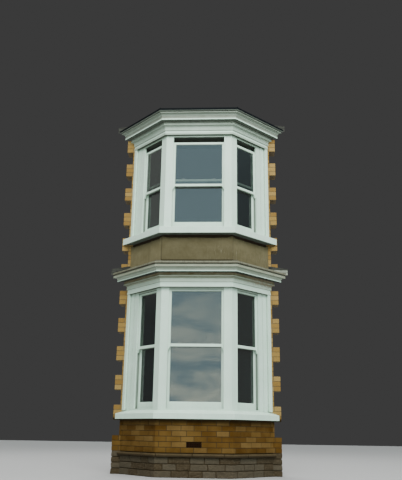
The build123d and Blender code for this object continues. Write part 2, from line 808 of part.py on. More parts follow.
def lower_flashing():
    """The upstands at both ends of the lead ledge, beside the render."""
    inner = WALL_HALF - APRON_SET_BACK / math.sin(SLANT)
    outer = WALL_HALF + LEAD_EDGE_REACH / math.sin(SLANT)
    eaves = LOWER.roof_foot + LEAD_EDGE
    right = [(inner, LEAD_TOP), (outer, eaves), (outer + FLASHING_PAST, eaves)]
    return both_sides(upstand(right, lower_roof()))


def upper_flashing():
    """The upstand along the whole of the upper roof."""
    outer = WALL_HALF + ROOF_EDGE_REACH / math.sin(SLANT)
    ridge = ROOF_EAVES + ROOF_RISE
    right = [(ROOF_RIDGE_HALF, ridge), (outer, ROOF_EAVES), (outer + FLASHING_PAST, ROOF_EAVES)]
    left = [(-x, z) for x, z in reversed(right)]
    return upstand(left + right, upper_roof())


# Floors and ceilings
def bay_floor(top, wall_offset):
    """Floorboards up to the wall, on joists that run from the house out to the front."""
    boards = slab(wall_offset, top - FLOOR_BOARDS, top)
    front = -(BAY_DEPTH + wall_offset)
    half = FRONT_HALF + wall_offset * MITRE - JOIST_WIDTH
    joist_z = (top - FLOOR_BOARDS - JOIST_DEPTH, top - FLOOR_BOARDS)
    for joist in range(JOISTS):
        middle = -half + joist * 2 * half / (JOISTS - 1)
        boards += box_between((middle - JOIST_WIDTH / 2, middle + JOIST_WIDTH / 2), (front, 0), joist_z)
    return boards


def ceiling(storey):
    """The plaster ceiling inside the lintel."""
    foot = storey.architrave_foot + CEILING_RISE
    return slab(-WALL_THICK, foot, foot + CEILING_THICK)


# All the pieces
def storey_pieces(storey):
    """The pieces that both storeys have, by node name."""
    pieces = {
        "sill": sill(storey),
        "corner_posts": both_sides(corner_post(storey)),
        "wall_posts": both_sides(wall_post(storey)),
        "lintel": lintel(storey),
        "window_board": window_board(storey),
        "ceiling": ceiling(storey),
        "outer_sashes": on_each_face(outer_sash, storey),
        "inner_sashes": on_each_face(inner_sash, storey),
        "glass": glazing(pane, storey),
        "putty": glazing(putty_run, storey),
        "frieze": frieze(storey),
        "cornice": cornice(storey),
    }
    for name, opening in OPENINGS.items():
        pieces[f"{name}_frame"] = face_axes(name) * window_box(storey, opening)
    return {f"{storey.name}_{node}": piece for node, piece in pieces.items()}


def all_pieces():
    """Every node of the bay window."""
    pieces = {
        "stone_base": stone_base(),
        "brick_plinth": brick_plinth(),
        "air_brick": air_brick(),
        "ground_floor": bay_floor(GROUND_FLOOR_TOP, -BRICK_LENGTH),
        "first_floor": bay_floor(FIRST_FLOOR_TOP, -WALL_THICK),
        "right_quoin": quoin_pier(),
        "left_quoin": mirror(quoin_pier(), about=Plane.YZ),
        "quoin_teeth": both_sides(quoin_teeth()),
        "apron_wall": apron_wall(),
        "apron_render": apron_render(),
        "lower_roof": lower_roof(),
        "lower_flashing": lower_flashing(),
        "upper_roof": upper_roof(),
        "upper_flashing": upper_flashing(),
        "sash_fasteners": sash_fasteners(),
    }
    pieces.update(storey_pieces(LOWER))
    pieces.update(storey_pieces(UPPER))
    return pieces


os.makedirs("parts", exist_ok=True)
for node, shape in all_pieces().items():
    export_step(shape, f"parts/{node}.step")
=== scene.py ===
"""Dresses the bay window: brickwork, stones, paint, glass, render and lead, seen as in the photograph.

Everything is in metres, in the CAD model's frame: X across the bay with its middle at 0, Y inwards with the
bay's mouth at 0, and Z up from the ground. An "offset" is measured square to the bay's faces, outwards from
the face of the architrave, as in the CAD model.
"""

import json
import math
import random

import bmesh
import bpy
from mathutils import Matrix, Vector, noise


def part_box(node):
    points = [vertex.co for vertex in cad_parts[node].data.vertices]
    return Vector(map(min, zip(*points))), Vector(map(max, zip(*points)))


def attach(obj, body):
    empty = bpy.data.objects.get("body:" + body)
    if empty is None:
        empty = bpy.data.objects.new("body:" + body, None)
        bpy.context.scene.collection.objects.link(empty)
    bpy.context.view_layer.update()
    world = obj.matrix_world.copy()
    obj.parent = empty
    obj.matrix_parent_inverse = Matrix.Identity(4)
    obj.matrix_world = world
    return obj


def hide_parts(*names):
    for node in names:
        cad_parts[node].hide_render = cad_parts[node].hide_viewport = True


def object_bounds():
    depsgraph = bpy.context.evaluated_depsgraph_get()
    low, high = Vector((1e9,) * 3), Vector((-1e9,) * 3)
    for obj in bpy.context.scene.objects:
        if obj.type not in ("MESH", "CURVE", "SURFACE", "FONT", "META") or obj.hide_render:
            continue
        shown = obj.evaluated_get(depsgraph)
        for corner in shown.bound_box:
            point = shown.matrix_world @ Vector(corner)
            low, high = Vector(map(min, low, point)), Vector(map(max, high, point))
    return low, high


# Without a seed of its own, Blender's vector noise takes the clock's, and no two runs would be alike
noise.seed_set(5)

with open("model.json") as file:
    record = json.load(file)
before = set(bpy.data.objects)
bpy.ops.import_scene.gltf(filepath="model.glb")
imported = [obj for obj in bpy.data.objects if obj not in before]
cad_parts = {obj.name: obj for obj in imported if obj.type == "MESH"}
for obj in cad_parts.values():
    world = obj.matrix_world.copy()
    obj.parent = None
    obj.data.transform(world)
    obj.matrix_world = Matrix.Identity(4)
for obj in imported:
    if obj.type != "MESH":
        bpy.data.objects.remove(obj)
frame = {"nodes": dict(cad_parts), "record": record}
cad_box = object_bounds()
nodes = frame["nodes"]
X, Y, Z = range(3)
STOREYS = ("lower", "upper")
SIDES = ((-1, "left"), (1, "right"))

# The bay's plan, as in the CAD model; the places on it are worked out for cants at 45 degrees
FRONT_HALF = 0.600
BAY_DEPTH = 0.650
CANT_ANGLE = math.radians(45)
WALL_HALF = FRONT_HALF + BAY_DEPTH
COS_CANT = math.cos(CANT_ANGLE)
MITRE = math.tan(CANT_ANGLE / 2)
CANT_LENGTH = BAY_DEPTH / COS_CANT
FACE_LENGTHS = (CANT_LENGTH, 2 * FRONT_HALF, CANT_LENGTH)

# Brickwork; courses are counted from 0
BRICK_LENGTH = 0.222
BRICK_WIDTH = 0.107
BRICK_HEIGHT = 0.073
JOINT = 0.008
HALF_JOINT = JOINT / 2
COURSE = BRICK_HEIGHT + JOINT
STRETCHER = BRICK_LENGTH + JOINT
CANT_BRICKS = math.ceil(CANT_LENGTH / STRETCHER)
OUTER_LEAF = (0.0, BRICK_WIDTH)
INNER_LEAF = (BRICK_WIDTH + JOINT, BRICK_LENGTH)
SQUINT_LONG = 0.168
SQUINT_SHORT = 0.053
AIR_BRICK_COURSE = 1
HALF_AIR_BRICK = BRICK_LENGTH / 2 + HALF_JOINT
QUOIN_BLOCK = 3
MORTAR_SET_BACK = 0.005
BRICK_FINISH = {"bevel": 0.003, "segments": 2, "wobble": 0.0012, "wave": 30.0}

# Stone base; the lengths are the shortest and the longest stone
STONE_JOINT = 0.010
HALF_STONE_JOINT = STONE_JOINT / 2
STONE_DEPTH = 0.330
RUBBLE_LENGTHS = (0.18, 0.40)
CORNER_STONE = 0.36
CORNER_FRONT_LEGS = (0.26, 0.12, 0.21)
RUBBLE_COURSES = len(CORNER_FRONT_LEGS)
MOUTH_COURSES = 4
MOUTH_LENGTHS = (0.20, 0.46)
SLEEPER_DEPTH = 0.060
CORE_SET_BACK = 0.012
CORE_DROP = 0.004
RUBBLE_FINISH = {"bevel": 0.010, "segments": 2, "cuts": 3, "wobble": 0.006, "wave": 16.0}
LEDGE_REACH = 0.035
LEDGE_BACK = 0.20
LEDGE_HEIGHT = 0.060
LEDGE_WEATHERING = 0.012
LEDGE_JOINTS = (-0.58, -0.02, 0.47)
LEDGE_RETURN = 0.30
LEDGE_FINISH = {"bevel": 0.005, "segments": 2, "cuts": 3, "wobble": 0.0015, "wave": 16.0}

# Floors
BOARDS = 6
HALF_BOARD_GAP = 0.002
JOISTS = 5
JOIST_WIDTH = 0.050
JOIST_DEPTH = 0.150
BOARD_FINISH = {"bevel": 0.002}
JOIST_FINISH = {"bevel": 0.002, "wobble": 0.0008, "wave": 20.0}

# Render and lead; the stations are the steps along each face, and the step is the longest in the section
RENDER_OFFSET = -0.015
RENDER_THICK = 0.022
RENDER_STATIONS = (60, 80, 60)
RENDER_STEP = 0.045
TOP_EDGE_LOSS = 0.024
KEPT_REACH = 0.09
KEPT_RISE = 0.004
LEAD_REACH = 0.202
LEAD_EDGE = 0.042
LEAD_LIP = 0.008
LEAD_STATIONS = (50, 70, 50)
LEAD_STEP = 0.05
HIP_ROLL = 0.016
TOLERANCE = 0.001

# Sash boxes, as in the CAD model: the head lining's height, and depths from the architrave's face
HEAD_LINING = 0.030
POST_RECESS = 0.045
CHANNEL_FRONT = 0.075
CHANNEL_BACK = 0.125

# Painted shade and grime on the paint: bands of (from, to, amount), from the soffit of each cornice, and
# amounts by storey
SHADE_AND_GRIME = {
    "lower_frieze": [
        (-0.24, -0.148, 0.08),
        (-0.152, -0.092, 0.40),
        (-0.092, -0.048, 0.74),
        (-0.048, 0.02, 1.0),
    ],
    "lower_cornice": [(0.018, 0.068, 0.58), (0.066, 0.13, 0.78)],
    "upper_frieze": [
        (-0.24, -0.194, 0.48),
        (-0.161, -0.152, 0.70),
        (-0.154, -0.089, 0.44),
        (-0.089, -0.066, 0.54),
        (-0.066, -0.035, 0.62),
        (-0.035, 0.02, 0.78),
    ],
    "upper_cornice": [(0.023, 0.080, 0.84), (0.078, 0.106, 0.60), (0.104, 0.16, 0.78)],
}
SHADE_AND_GRIME_COLOUR = {"lower": (0.165, 0.124, 0.056), "upper": (0.134, 0.127, 0.092)}
# painted shade, almost black, on faces that face down under each cornice, on the window heads (with dirt
# there) and in the sash channels
UNDERSIDE_SHADE = {"lower": 0.97, "upper": 0.88}
HEAD_SHADE_AND_GRIME = {"lower": 0.42, "upper": 0.12}
FILLET_SHADE = 0.5
CHANNEL_SHADE = 0.7
FLAKING = {"lower_frieze": 0.85}

# Light and camera; the angles are in radians
SKY = 2.02
BACKGROUND = 0.054
BACKDROP = 0.050
FLOOR_SIZE = 60
CAMERA_PLACE = (0.5874, -10.502, 0.663)
CAMERA_YAW = -0.0531
CAMERA_PITCH = 0.3041
CAMERA_ROLL = 0.0147
CAMERA_LENS = 45.93
CAMERA_SENSOR = 36


def low(node, axis):
    """A node's lowest place on one axis."""
    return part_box(node)[0][axis]


def high(node, axis):
    """A node's highest place on one axis."""
    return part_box(node)[1][axis]


def rgb(red, green, blue):
    """A colour as four numbers."""
    return (red, green, blue, 1.0)


# Node trees
class Tree:
    """A node tree, with short calls for the nodes used here."""

    def __init__(self, owner, coordinates):
        owner.use_nodes = True
        self.nodes = owner.node_tree.nodes
        self.links = owner.node_tree.links
        self.place = self.nodes.new("ShaderNodeTexCoord").outputs[coordinates]

    def link(self, source, socket):
        """Feeds a socket from another one, or sets it to a plain value."""
        if isinstance(source, bpy.types.NodeSocket):
            self.links.new(source, socket)
        else:
            socket.default_value = source

    def stretched(self, x, y, z):
        """The coordinates scaled on each axis."""
        node = self.nodes.new("ShaderNodeMapping")
        node.inputs["Scale"].default_value = (x, y, z)
        self.links.new(self.place, node.inputs["Vector"])
        return node.outputs["Vector"]

    def noise(self, scale, detail=4, roughness=0.55, at=None, distortion=0.0):
        """A noise pattern's value."""
        node = self.nodes.new("ShaderNodeTexNoise")
        node.inputs["Scale"].default_value = scale
        node.inputs["Detail"].default_value = detail
        node.inputs["Roughness"].default_value = roughness
        node.inputs["Distortion"].default_value = distortion
        self.links.new(at or self.place, node.inputs["Vector"])
        return node.outputs["Fac"]

    def ramp(self, value, low_in, high_in, low_out=0.0, high_out=1.0):
        """A smooth step from one value to another."""
        node = self.nodes.new("ShaderNodeMapRange")
        node.interpolation_type = "SMOOTHSTEP"
        self.link(value, node.inputs["Value"])
        node.inputs["From Min"].default_value = low_in
        node.inputs["From Max"].default_value = high_in
        node.inputs["To Min"].default_value = low_out
        node.inputs["To Max"].default_value = high_out
        return node.outputs["Result"]

    def math(self, operation, *values):
        """One sum on one or two values."""
        node = self.nodes.new("ShaderNodeMath")
        node.operation = operation
        for value, socket in zip(values, node.inputs):
            self.link(value, socket)
        return node.outputs[0]

    def product(self, first, *others):
        """The values multiplied together."""
        for other in others:
            first = self.math("MULTIPLY", first, other)
        return first

    def larger(self, first, second):
        """The larger of two values."""
        return self.math("MAXIMUM", first, second)

    def mix(self, amount, first, second):
        """A mix of two colours."""
        node = self.nodes.new("ShaderNodeMix")
        node.data_type = "RGBA"
        self.link(amount, node.inputs["Factor"])
        self.link(first, node.inputs["A"])
        self.link(second, node.inputs["B"])
        return node.outputs["Result"]


class Surface(Tree):
    """A material's node tree, which ends in one Principled shader."""

    def __init__(self, name):
        self.material = bpy.data.materials.new(name)
        super().__init__(self.material, "Object")
        self.shader = self.nodes["Principled BSDF"]

    def axis(self, name, of="Position"):
        """One axis of the surface's position or normal."""
        geometry = self.nodes.new("ShaderNodeNewGeometry")
        split = self.nodes.new("ShaderNodeSeparateXYZ")
        self.links.new(geometry.outputs[of], split.inputs[0])
        return split.outputs[name]

    def by_width(self, start, end, low_out=0.0, high_out=1.0):
        """A smooth step from one place on the X axis to another."""
        return self.ramp(self.axis("X"), start, end, low_out, high_out)

    def by_height(self, start, end, low_out=0.0, high_out=1.0):
        """A smooth step from one height to another."""
        return self.ramp(self.axis("Z"), start, end, low_out, high_out)

    def in_bands(self, bands, blur):
        """The amount at each height, from bands of (from, to, amount)."""
        height = self.axis("Z")
        total = 0.0
        for foot, top, amount in bands:
            over_foot = self.ramp(height, foot - blur, foot + blur)
            under_top = self.ramp(height, top + blur, top - blur)
            total = self.larger(total, self.product(over_foot, under_top, amount))
        return total

    def offset(self):
        """How far a place stands out from the bay's faces."""
        front = self.math("SUBTRACT", -BAY_DEPTH, self.axis("Y"))
        beside = self.math("SUBTRACT", self.math("ABSOLUTE", self.axis("X")), FRONT_HALF)
        cant = self.product(self.math("ADD", beside, front), COS_CANT)
        return self.larger(front, cant)

    def hollows(self, reach, own=False):
        """How deep a place lies in a corner, from 0 in the open to 1; own hollows count one piece alone."""
        node = self.nodes.new("ShaderNodeAmbientOcclusion")
        node.samples = 8
        node.only_local = own
        node.inputs["Distance"].default_value = reach
        in_the_open, shut_in = 0.85, 0.30
        return self.ramp(node.outputs["AO"], in_the_open, shut_in)

    def tint(self):
        """The random number that a brick, stone or board carries on its faces."""
        node = self.nodes.new("ShaderNodeAttribute")
        node.attribute_name = "tint"
        return node.outputs["Fac"]

    def bump(self, height, strength, distance, under=None):
        """A bump from a height, on top of another bump."""
        node = self.nodes.new("ShaderNodeBump")
        node.inputs["Strength"].default_value = strength
        node.inputs["Distance"].default_value = distance
        self.links.new(height, node.inputs["Height"])
        if under:
            self.links.new(under, node.inputs["Normal"])
        return node.outputs["Normal"]

    def finish(self, colour, roughness, normal=None, **plain):
        """Connects the shader; plain values are set on its own sockets."""
        self.link(colour, self.shader.inputs["Base Color"])
        self.link(roughness, self.shader.inputs["Roughness"])
        if normal:
            self.links.new(normal, self.shader.inputs["Normal"])
        for name, value in plain.items():
            self.shader.inputs[name.replace("_", " ")].default_value = value
        return self.material


# Paint
def white_gloss(tree):
    """Old white gloss paint, faintly green: its colour and roughness."""
    broad = tree.noise(2.2, 5, 0.6)
    brushed = tree.noise(2.0, 4, 0.6, at=tree.stretched(26, 26, 0.35))
    fresh = tree.mix(tree.ramp(broad, 0.35, 0.7), rgb(0.675, 0.88, 0.72), rgb(0.745, 0.94, 0.79))
    colour = tree.mix(tree.ramp(brushed, 0.45, 0.75, 0.0, 0.10), fresh, rgb(0.42, 0.46, 0.36))
    return colour, tree.ramp(broad, 0.3, 0.7, 0.32, 0.5)


def brush_marks(tree):
    """The fine bump of brushed paint."""
    return tree.bump(tree.noise(160, 3, 0.6), 0.12, 0.0015)


def shaded_paint(tree, reach, strength, own, darkest):
    """White paint with painted shade in each crevice and on faces that face down: its colour and roughness.
    """
    clean, roughness = white_gloss(tree)
    patches = tree.ramp(tree.noise(9, 6, 0.7), 0.25, 0.7, 0.7, 1.0)
    # painted shade: faces that face down and crevices are darkened in patches, and faces that face down go
    # towards black by the darkest amount
    facing_down = tree.ramp(tree.axis("Z", "Normal"), -0.3, -0.9, 0.0, 0.8)
    crevice = tree.product(tree.hollows(reach, own), strength)
    darkening = tree.product(tree.larger(facing_down, crevice), patches)
    with_painted_shade = tree.mix(darkening, clean, rgb(0.075, 0.082, 0.055))
    colour = tree.mix(tree.product(facing_down, darkest), with_painted_shade, rgb(0.012, 0.014, 0.010))
    return colour, tree.larger(roughness, facing_down)


def painted_timber(name, reach, strength, own=False, darkest=0.0):
    """Paint kept clean, but with painted shade in the crevices and on faces that face down."""
    tree = Surface(name)
    colour, roughness = shaded_paint(tree, reach, strength, own, darkest)
    return tree.finish(colour, roughness, brush_marks(tree))


def frame_paint(storey, head):
    """Paint on sash boxes and lintels: painted shade and dirt on the head, painted shade in the channels,
    and painted shade, almost black, deep in at the top.
    """
    tree = Surface(f"{storey}_frame_paint")
    dust_and_shade, roughness = shaded_paint(tree, reach=0.05, strength=0.7, own=False, darkest=0.97)
    # painted shade and dirt on the head lining
    head_band = (head - HEAD_LINING, head + HEAD_LINING, HEAD_SHADE_AND_GRIME[storey])
    on_head = tree.in_bands([head_band], blur=0.005)
    with_shade_and_grime = tree.mix(on_head, dust_and_shade, rgb(0.060, 0.056, 0.030))
    offset = tree.offset()
    # painted shade in the sash channels behind the lining
    behind_lining = tree.ramp(offset, -CHANNEL_FRONT + 0.002, -CHANNEL_FRONT - 0.002, 0.0, CHANNEL_SHADE)
    channel = tree.product(behind_lining, tree.ramp(offset, -CHANNEL_BACK, -CHANNEL_BACK + 0.004))
    lined = tree.mix(channel, with_shade_and_grime, rgb(0.060, 0.068, 0.048))
    # painted shade, almost black, deep in under the head
    within = tree.ramp(offset, -POST_RECESS - 0.012, -POST_RECESS - 0.022)
    depth = tree.product(within, tree.by_height(head - 0.10, head - 0.06))
    colour = tree.mix(tree.product(depth, 0.97), lined, rgb(0.034, 0.042, 0.033))
    return tree.finish(colour, tree.larger(roughness, depth), brush_marks(tree))


def entablature_paint(node, storey, soffit):
    """Paint on an entablature: bands of painted shade and grime, painted shade, almost black, under the
    soffit, and flaking to the right on one node.
    """
    tree = Surface(f"{node}_paint")
    bands = [(soffit + foot, soffit + top, amount) for foot, top, amount in SHADE_AND_GRIME[node]]
    clean, roughness = white_gloss(tree)
    patches = tree.ramp(tree.noise(8, 6, 0.7, at=tree.stretched(1.0, 1.0, 3.0)), 0.25, 0.7, 0.86, 1.0)
    # painted shade in the crevices, joined to the bands of painted shade and grime
    crevice = tree.product(tree.hollows(0.04), 0.3)
    darkening = tree.product(tree.larger(tree.in_bands(bands, blur=0.005), crevice), patches)
    with_shade_and_grime = tree.mix(darkening, clean, rgb(*SHADE_AND_GRIME_COLOUR[storey]))
    # painted shade, almost black, on faces that face down, strongest at the soffit
    facing_down = tree.ramp(tree.axis("Z", "Normal"), -0.5, -0.9, 0.0, UNDERSIDE_SHADE[storey])
    at_soffit = tree.in_bands([(soffit - 0.012, soffit + 0.018, 1.0)], blur=0.004)
    under = tree.product(facing_down, tree.larger(at_soffit, FILLET_SHADE))
    darkened = tree.mix(under, with_shade_and_grime, rgb(0.014, 0.012, 0.006))
    right_end = tree.product(tree.by_width(0.72, 1.12), tree.by_height(soffit - 0.17, soffit - 0.07))
    chips = tree.ramp(tree.noise(26, 6, 0.8), 0.46, 0.53, 0.0, FLAKING.get(node, 0.0))
    bare = tree.mix(tree.noise(70, 5, 0.7), rgb(0.13, 0.085, 0.045), rgb(0.42, 0.35, 0.25))
    colour = tree.mix(tree.product(right_end, chips), darkened, bare)
    dull = tree.larger(roughness, tree.larger(under, darkening))
    return tree.finish(colour, dull, brush_marks(tree))


# Brick and stone
def near_ground(tree, amount):
    """How much painted shade and soot brickwork takes: by the whole amount low on the plinth, and not at all
    above the sill.
    """
    plinth_top = high("brick_plinth", Z)
    return tree.by_height(plinth_top + 0.144, plinth_top - 0.056, 0.0, amount)


def brick_clay():
    """Yellow-buff brick: each one its own tone, with painted shade and soot towards the ground and a painted
    shadow, almost black, just under the sill.
    """
    tree = Surface("brick_clay")
    tint = tree.tint()
    warm = tree.mix(tree.ramp(tint, 0.0, 0.6), rgb(0.245, 0.142, 0.038), rgb(0.305, 0.190, 0.054))
    shade = tree.mix(tree.ramp(tint, 0.6, 1.0), warm, rgb(0.355, 0.235, 0.082))
    speckle = tree.ramp(tree.noise(45, 6, 0.7), 0.42, 0.75, 0.0, 0.5)
    mottled = tree.mix(speckle, shade, rgb(0.25, 0.15, 0.06))
    clouded = tree.ramp(tree.noise(4, 5), 0.2, 0.8, 0.72, 1.0)
    brick_by_brick = tree.ramp(tint, 0.0, 1.0, 1.0, 0.82)
    foot, top = low("brick_plinth", Z), high("brick_plinth", Z)
    # painted shade and soot low on the plinth, more on the end courses
    end_courses = [(0.0, foot + COURSE, 1.10), (top - 2 * COURSE, top + 0.114, 1.10)]
    more = tree.larger(tree.in_bands(end_courses, blur=0.004), 1.0)
    low_shade_and_soot = tree.product(near_ground(tree, 0.93), tree.product(clouded, brick_by_brick), more)
    darkened = tree.mix(low_shade_and_soot, mottled, rgb(0.062, 0.026, 0.002))
    # painted shadow under the sill
    up_to_sill = tree.by_height(top - 0.086, top - 0.001)
    below_joint = tree.by_height(top + 0.044, top + 0.004)
    under_sill_shadow = tree.product(up_to_sill, below_joint, 0.92)
    colour = tree.mix(under_sill_shadow, darkened, rgb(0.014, 0.008, 0.003))
    rough = tree.bump(tree.noise(260, 4, 0.7), 0.5, 0.0015)
    normal = tree.bump(tree.noise(38, 4, 0.6), 0.35, 0.004, under=rough)
    return tree.finish(colour, 0.88, normal, Specular_IOR_Level=0.12)


def mortar():
    """Grey-brown lime mortar, with painted shade and dirt near the ground."""
    tree = Surface("lime_mortar")
    colour = tree.mix(tree.noise(14, 6, 0.7), rgb(0.105, 0.080, 0.047), rgb(0.215, 0.178, 0.115))
    with_painted_shade = tree.mix(near_ground(tree, 0.85), colour, rgb(0.036, 0.022, 0.008))
    normal = tree.bump(tree.noise(220, 4, 0.8), 0.7, 0.003)
    return tree.finish(with_painted_shade, 0.95, normal, Specular_IOR_Level=0.1)


def rubble_stone():
    """Brown and grey rubble stone."""
    tree = Surface("base_stone")
    grain = tree.noise(30, 7, 0.7, at=tree.stretched(1, 1, 2.5))
    hue = tree.mix(tree.ramp(tree.tint(), 0.2, 0.8), rgb(0.044, 0.030, 0.015), rgb(0.074, 0.061, 0.041))
    colour = tree.mix(tree.ramp(grain, 0.35, 0.85), hue, rgb(0.125, 0.100, 0.063))
    rough = tree.bump(tree.noise(150, 5, 0.8), 0.6, 0.002)
    normal = tree.bump(grain, 0.6, 0.008, under=rough)
    return tree.finish(colour, 0.92, normal, Specular_IOR_Level=0.15)


def ledge_stone():
    """The paler cut stone of the ledge, dirty in patches and darker in its lower half."""
    tree = Surface("ledge_stone")
    grain = tree.noise(55, 6, 0.7)
    clean = tree.mix(grain, rgb(0.068, 0.048, 0.022), rgb(0.115, 0.084, 0.045))
    patches = tree.ramp(tree.noise(6, 6, 0.7), 0.45, 0.7, 0.0, 0.7)
    patchy = tree.mix(patches, clean, rgb(0.055, 0.04, 0.02))
    middle = high("stone_base", Z) - LEDGE_HEIGHT / 2
    lower_half = tree.by_height(middle + 0.002, middle - 0.010, 0.0, 0.8)
    colour = tree.mix(lower_half, patchy, rgb(0.024, 0.017, 0.009))
    return tree.finish(colour, 0.9, tree.bump(grain, 0.45, 0.003), Specular_IOR_Level=0.15)


def cement_render():
    """Olive-brown render: paler on the cants as painted light, with runs, a bloom to the right, a painted
    shadow with stains at the top and a painted shadow at the foot.
    """
    tree = Surface("cement_render")
    foot, top = low("apron_render", Z), high("apron_render", Z)
    mottle = tree.ramp(tree.noise(5.0, 7, 0.7), 0.3, 0.72)
    front = tree.mix(mottle, rgb(0.098, 0.083, 0.041), rgb(0.132, 0.114, 0.062))
    # painted light: the cants are paler
    painted_light_cants = tree.mix(mottle, rgb(0.170, 0.145, 0.073), rgb(0.228, 0.197, 0.108))
    left = tree.by_width(-FRONT_HALF, -FRONT_HALF - 0.03)
    right = tree.by_width(FRONT_HALF, FRONT_HALF + 0.03, 0.0, 0.40)
    base = tree.mix(tree.math("ADD", left, right), front, painted_light_cants)
    runs = tree.noise(3.0, 6, 0.65, at=tree.stretched(11, 11, 0.9))
    streaked = tree.mix(tree.ramp(runs, 0.5, 0.75, 0.0, 0.35), base, rgb(0.10, 0.088, 0.05))
    bloom_place = tree.product(tree.by_width(0.05, 0.35), tree.by_height(top - 0.05, foot + 0.10))
    fine_runs = tree.noise(7.0, 5, 0.6, at=tree.stretched(12, 12, 1.3))
    bloom = tree.product(bloom_place, tree.ramp(fine_runs, 0.56, 0.74, 0.0, 0.45))
    bloomed = tree.mix(bloom, streaked, rgb(0.34, 0.32, 0.235))
    # painted shadow under the sill, with stains
    top_shadow_and_stain = tree.product(tree.by_height(top - 0.09, top + 0.01), tree.ramp(runs, 0.3, 0.7, 0.2, 0.8))
    with_top_shadow_and_stain = tree.mix(top_shadow_and_stain, bloomed, rgb(0.06, 0.048, 0.022))
    # painted shadow at the foot, over the lead
    render_foot_shadow = tree.by_height(foot + 0.035, foot + 0.012, 0.0, 0.85)
    colour = tree.mix(render_foot_shadow, with_top_shadow_and_stain, rgb(0.02, 0.016, 0.008))
    rough = tree.bump(tree.noise(240, 4, 0.7), 0.5, 0.0015)
    normal = tree.bump(tree.noise(11, 5, 0.6), 0.35, 0.008, under=rough)
    return tree.finish(colour, 0.93, normal, Specular_IOR_Level=0.2)


# Roofs
def lead():
    """Weathered lead: a brown film in patches, pale runs and a painted highlight along the ledge's edge, and
    a painted shadow at its foot.
    """
    tree = Surface("lead")
    film = tree.noise(5, 6, 0.65)
    grey = tree.mix(tree.noise(40, 4), rgb(0.075, 0.070, 0.048), rgb(0.120, 0.112, 0.080))
    browned = tree.mix(tree.ramp(film, 0.4, 0.7, 0.0, 0.7), grey, rgb(0.055, 0.046, 0.026))
    foot = low("lower_roof", Z)
    beads = tree.noise(26, 5, 0.7, at=tree.stretched(1.0, 1.0, 0.4))
    # pale runs and a painted highlight on the edge
    pale_runs_and_highlight = tree.ramp(beads, 0.36, 0.52, 0.30, 0.85)
    over_foot = tree.by_height(foot + 0.010, foot + 0.018)
    under_top = tree.by_height(foot + 0.055, foot + 0.046)
    with_edge_highlight_and_runs = tree.mix(tree.product(over_foot, pale_runs_and_highlight, under_top), browned, rgb(0.208, 0.208, 0.140))
    # painted shadow at the foot of the edge
    shadow_beads = tree.ramp(beads, 0.6, 0.45, 0.45, 0.95)
    edge_foot_shadow = tree.product(tree.by_height(foot + 0.014, foot + 0.006), shadow_beads)
    colour = tree.mix(edge_foot_shadow, with_edge_highlight_and_runs, rgb(0.020, 0.015, 0.008))
    roughness = tree.ramp(film, 0.3, 0.7, 0.5, 0.75)
    return tree.finish(colour, roughness, tree.bump(tree.noise(18, 4), 0.25, 0.004))


def flashing_lead():
    """The dull lead of the upstands: dark, but paler low down at the ledge's right-hand end, bleached and
    with a painted highlight.
    """
    tree = Surface("flashing_lead")
    streaks = tree.noise(7, 6, 0.7, at=tree.stretched(1.0, 1.0, 3.5))
    dark = tree.mix(tree.ramp(streaks, 0.35, 0.7), rgb(0.020, 0.019, 0.015), rgb(0.065, 0.066, 0.054))
    # bleached lead with a painted highlight, low at the right-hand end
    bleach_and_highlight = tree.mix(tree.ramp(streaks, 0.30, 0.65), rgb(0.14, 0.15, 0.115), rgb(0.34, 0.36, 0.29))
    foot = low("lower_flashing", Z)
    low_at_right = tree.product(tree.by_width(0.9, 1.35), tree.by_height(foot + 0.105, foot + 0.075))
    colour = tree.mix(low_at_right, dark, bleach_and_highlight)
    return tree.finish(colour, 0.6, tree.bump(streaks, 0.4, 0.004), Specular_IOR_Level=0.3)


def dark_roof():
    """Black roof covering, a little grey with dust on top, over grimy painted eaves."""
    tree = Surface("dark_roof")
    level = tree.ramp(tree.axis("Z", "Normal"), 0.3, 0.95)
    dust = tree.product(level, tree.ramp(tree.noise(4, 6, 0.7), 0.3, 0.8))
    base = tree.mix(tree.noise(30, 5), rgb(0.003, 0.004, 0.005), rgb(0.009, 0.011, 0.012))
    dust_and_shade = tree.mix(dust, base, rgb(0.045, 0.045, 0.041))
    foot = low("upper_roof", Z)
    colour = tree.mix(tree.by_height(foot + 0.006, foot + 0.002), dust_and_shade, rgb(0.17, 0.195, 0.165))
    return tree.finish(colour, 0.6, tree.bump(tree.noise(120, 4), 0.3, 0.002), Specular_IOR_Level=0.06)


# Other materials
def window_glass(name, see_through, mirror):
    """Old panes, a little wavy, that mirror the light outside and show what stands close behind them."""
    tree = Surface(name)
    waver = tree.noise(1.8, 2, 0.5)
    colour = tree.mix(waver, rgb(0.006, 0.010, 0.010), rgb(0.012, 0.018, 0.018))
    return tree.finish(colour, 0.01, tree.bump(waver, 0.05, 0.01), IOR=mirror, Alpha=1 - see_through)


def floor_timber():
    """Stained pine boards with grain along their length."""
    tree = Surface("floor_timber")
    grain = tree.noise(6.0, 6, 0.7, at=tree.stretched(1.0, 14, 14), distortion=0.6)
    with_top_shadow_and_stain = tree.mix(tree.ramp(tree.tint(), 0.0, 1.0), rgb(0.15, 0.075, 0.03), rgb(0.24, 0.135, 0.062))
    colour = tree.mix(tree.ramp(grain, 0.35, 0.7, 0.0, 0.7), with_top_shadow_and_stain, rgb(0.085, 0.042, 0.018))
    return tree.finish(colour, tree.ramp(grain, 0.3, 0.7, 0.38, 0.6), tree.bump(grain, 0.25, 0.0015))


def plain(name, dark, light, roughness, shine=0.5):
    """A quiet surface with a little variation."""
    tree = Surface(name)
    colour = tree.mix(tree.noise(20, 5), rgb(*dark), rgb(*light))
    normal = tree.bump(tree.noise(160, 3), 0.2, 0.002)
    return tree.finish(colour, roughness, normal, Specular_IOR_Level=shine)


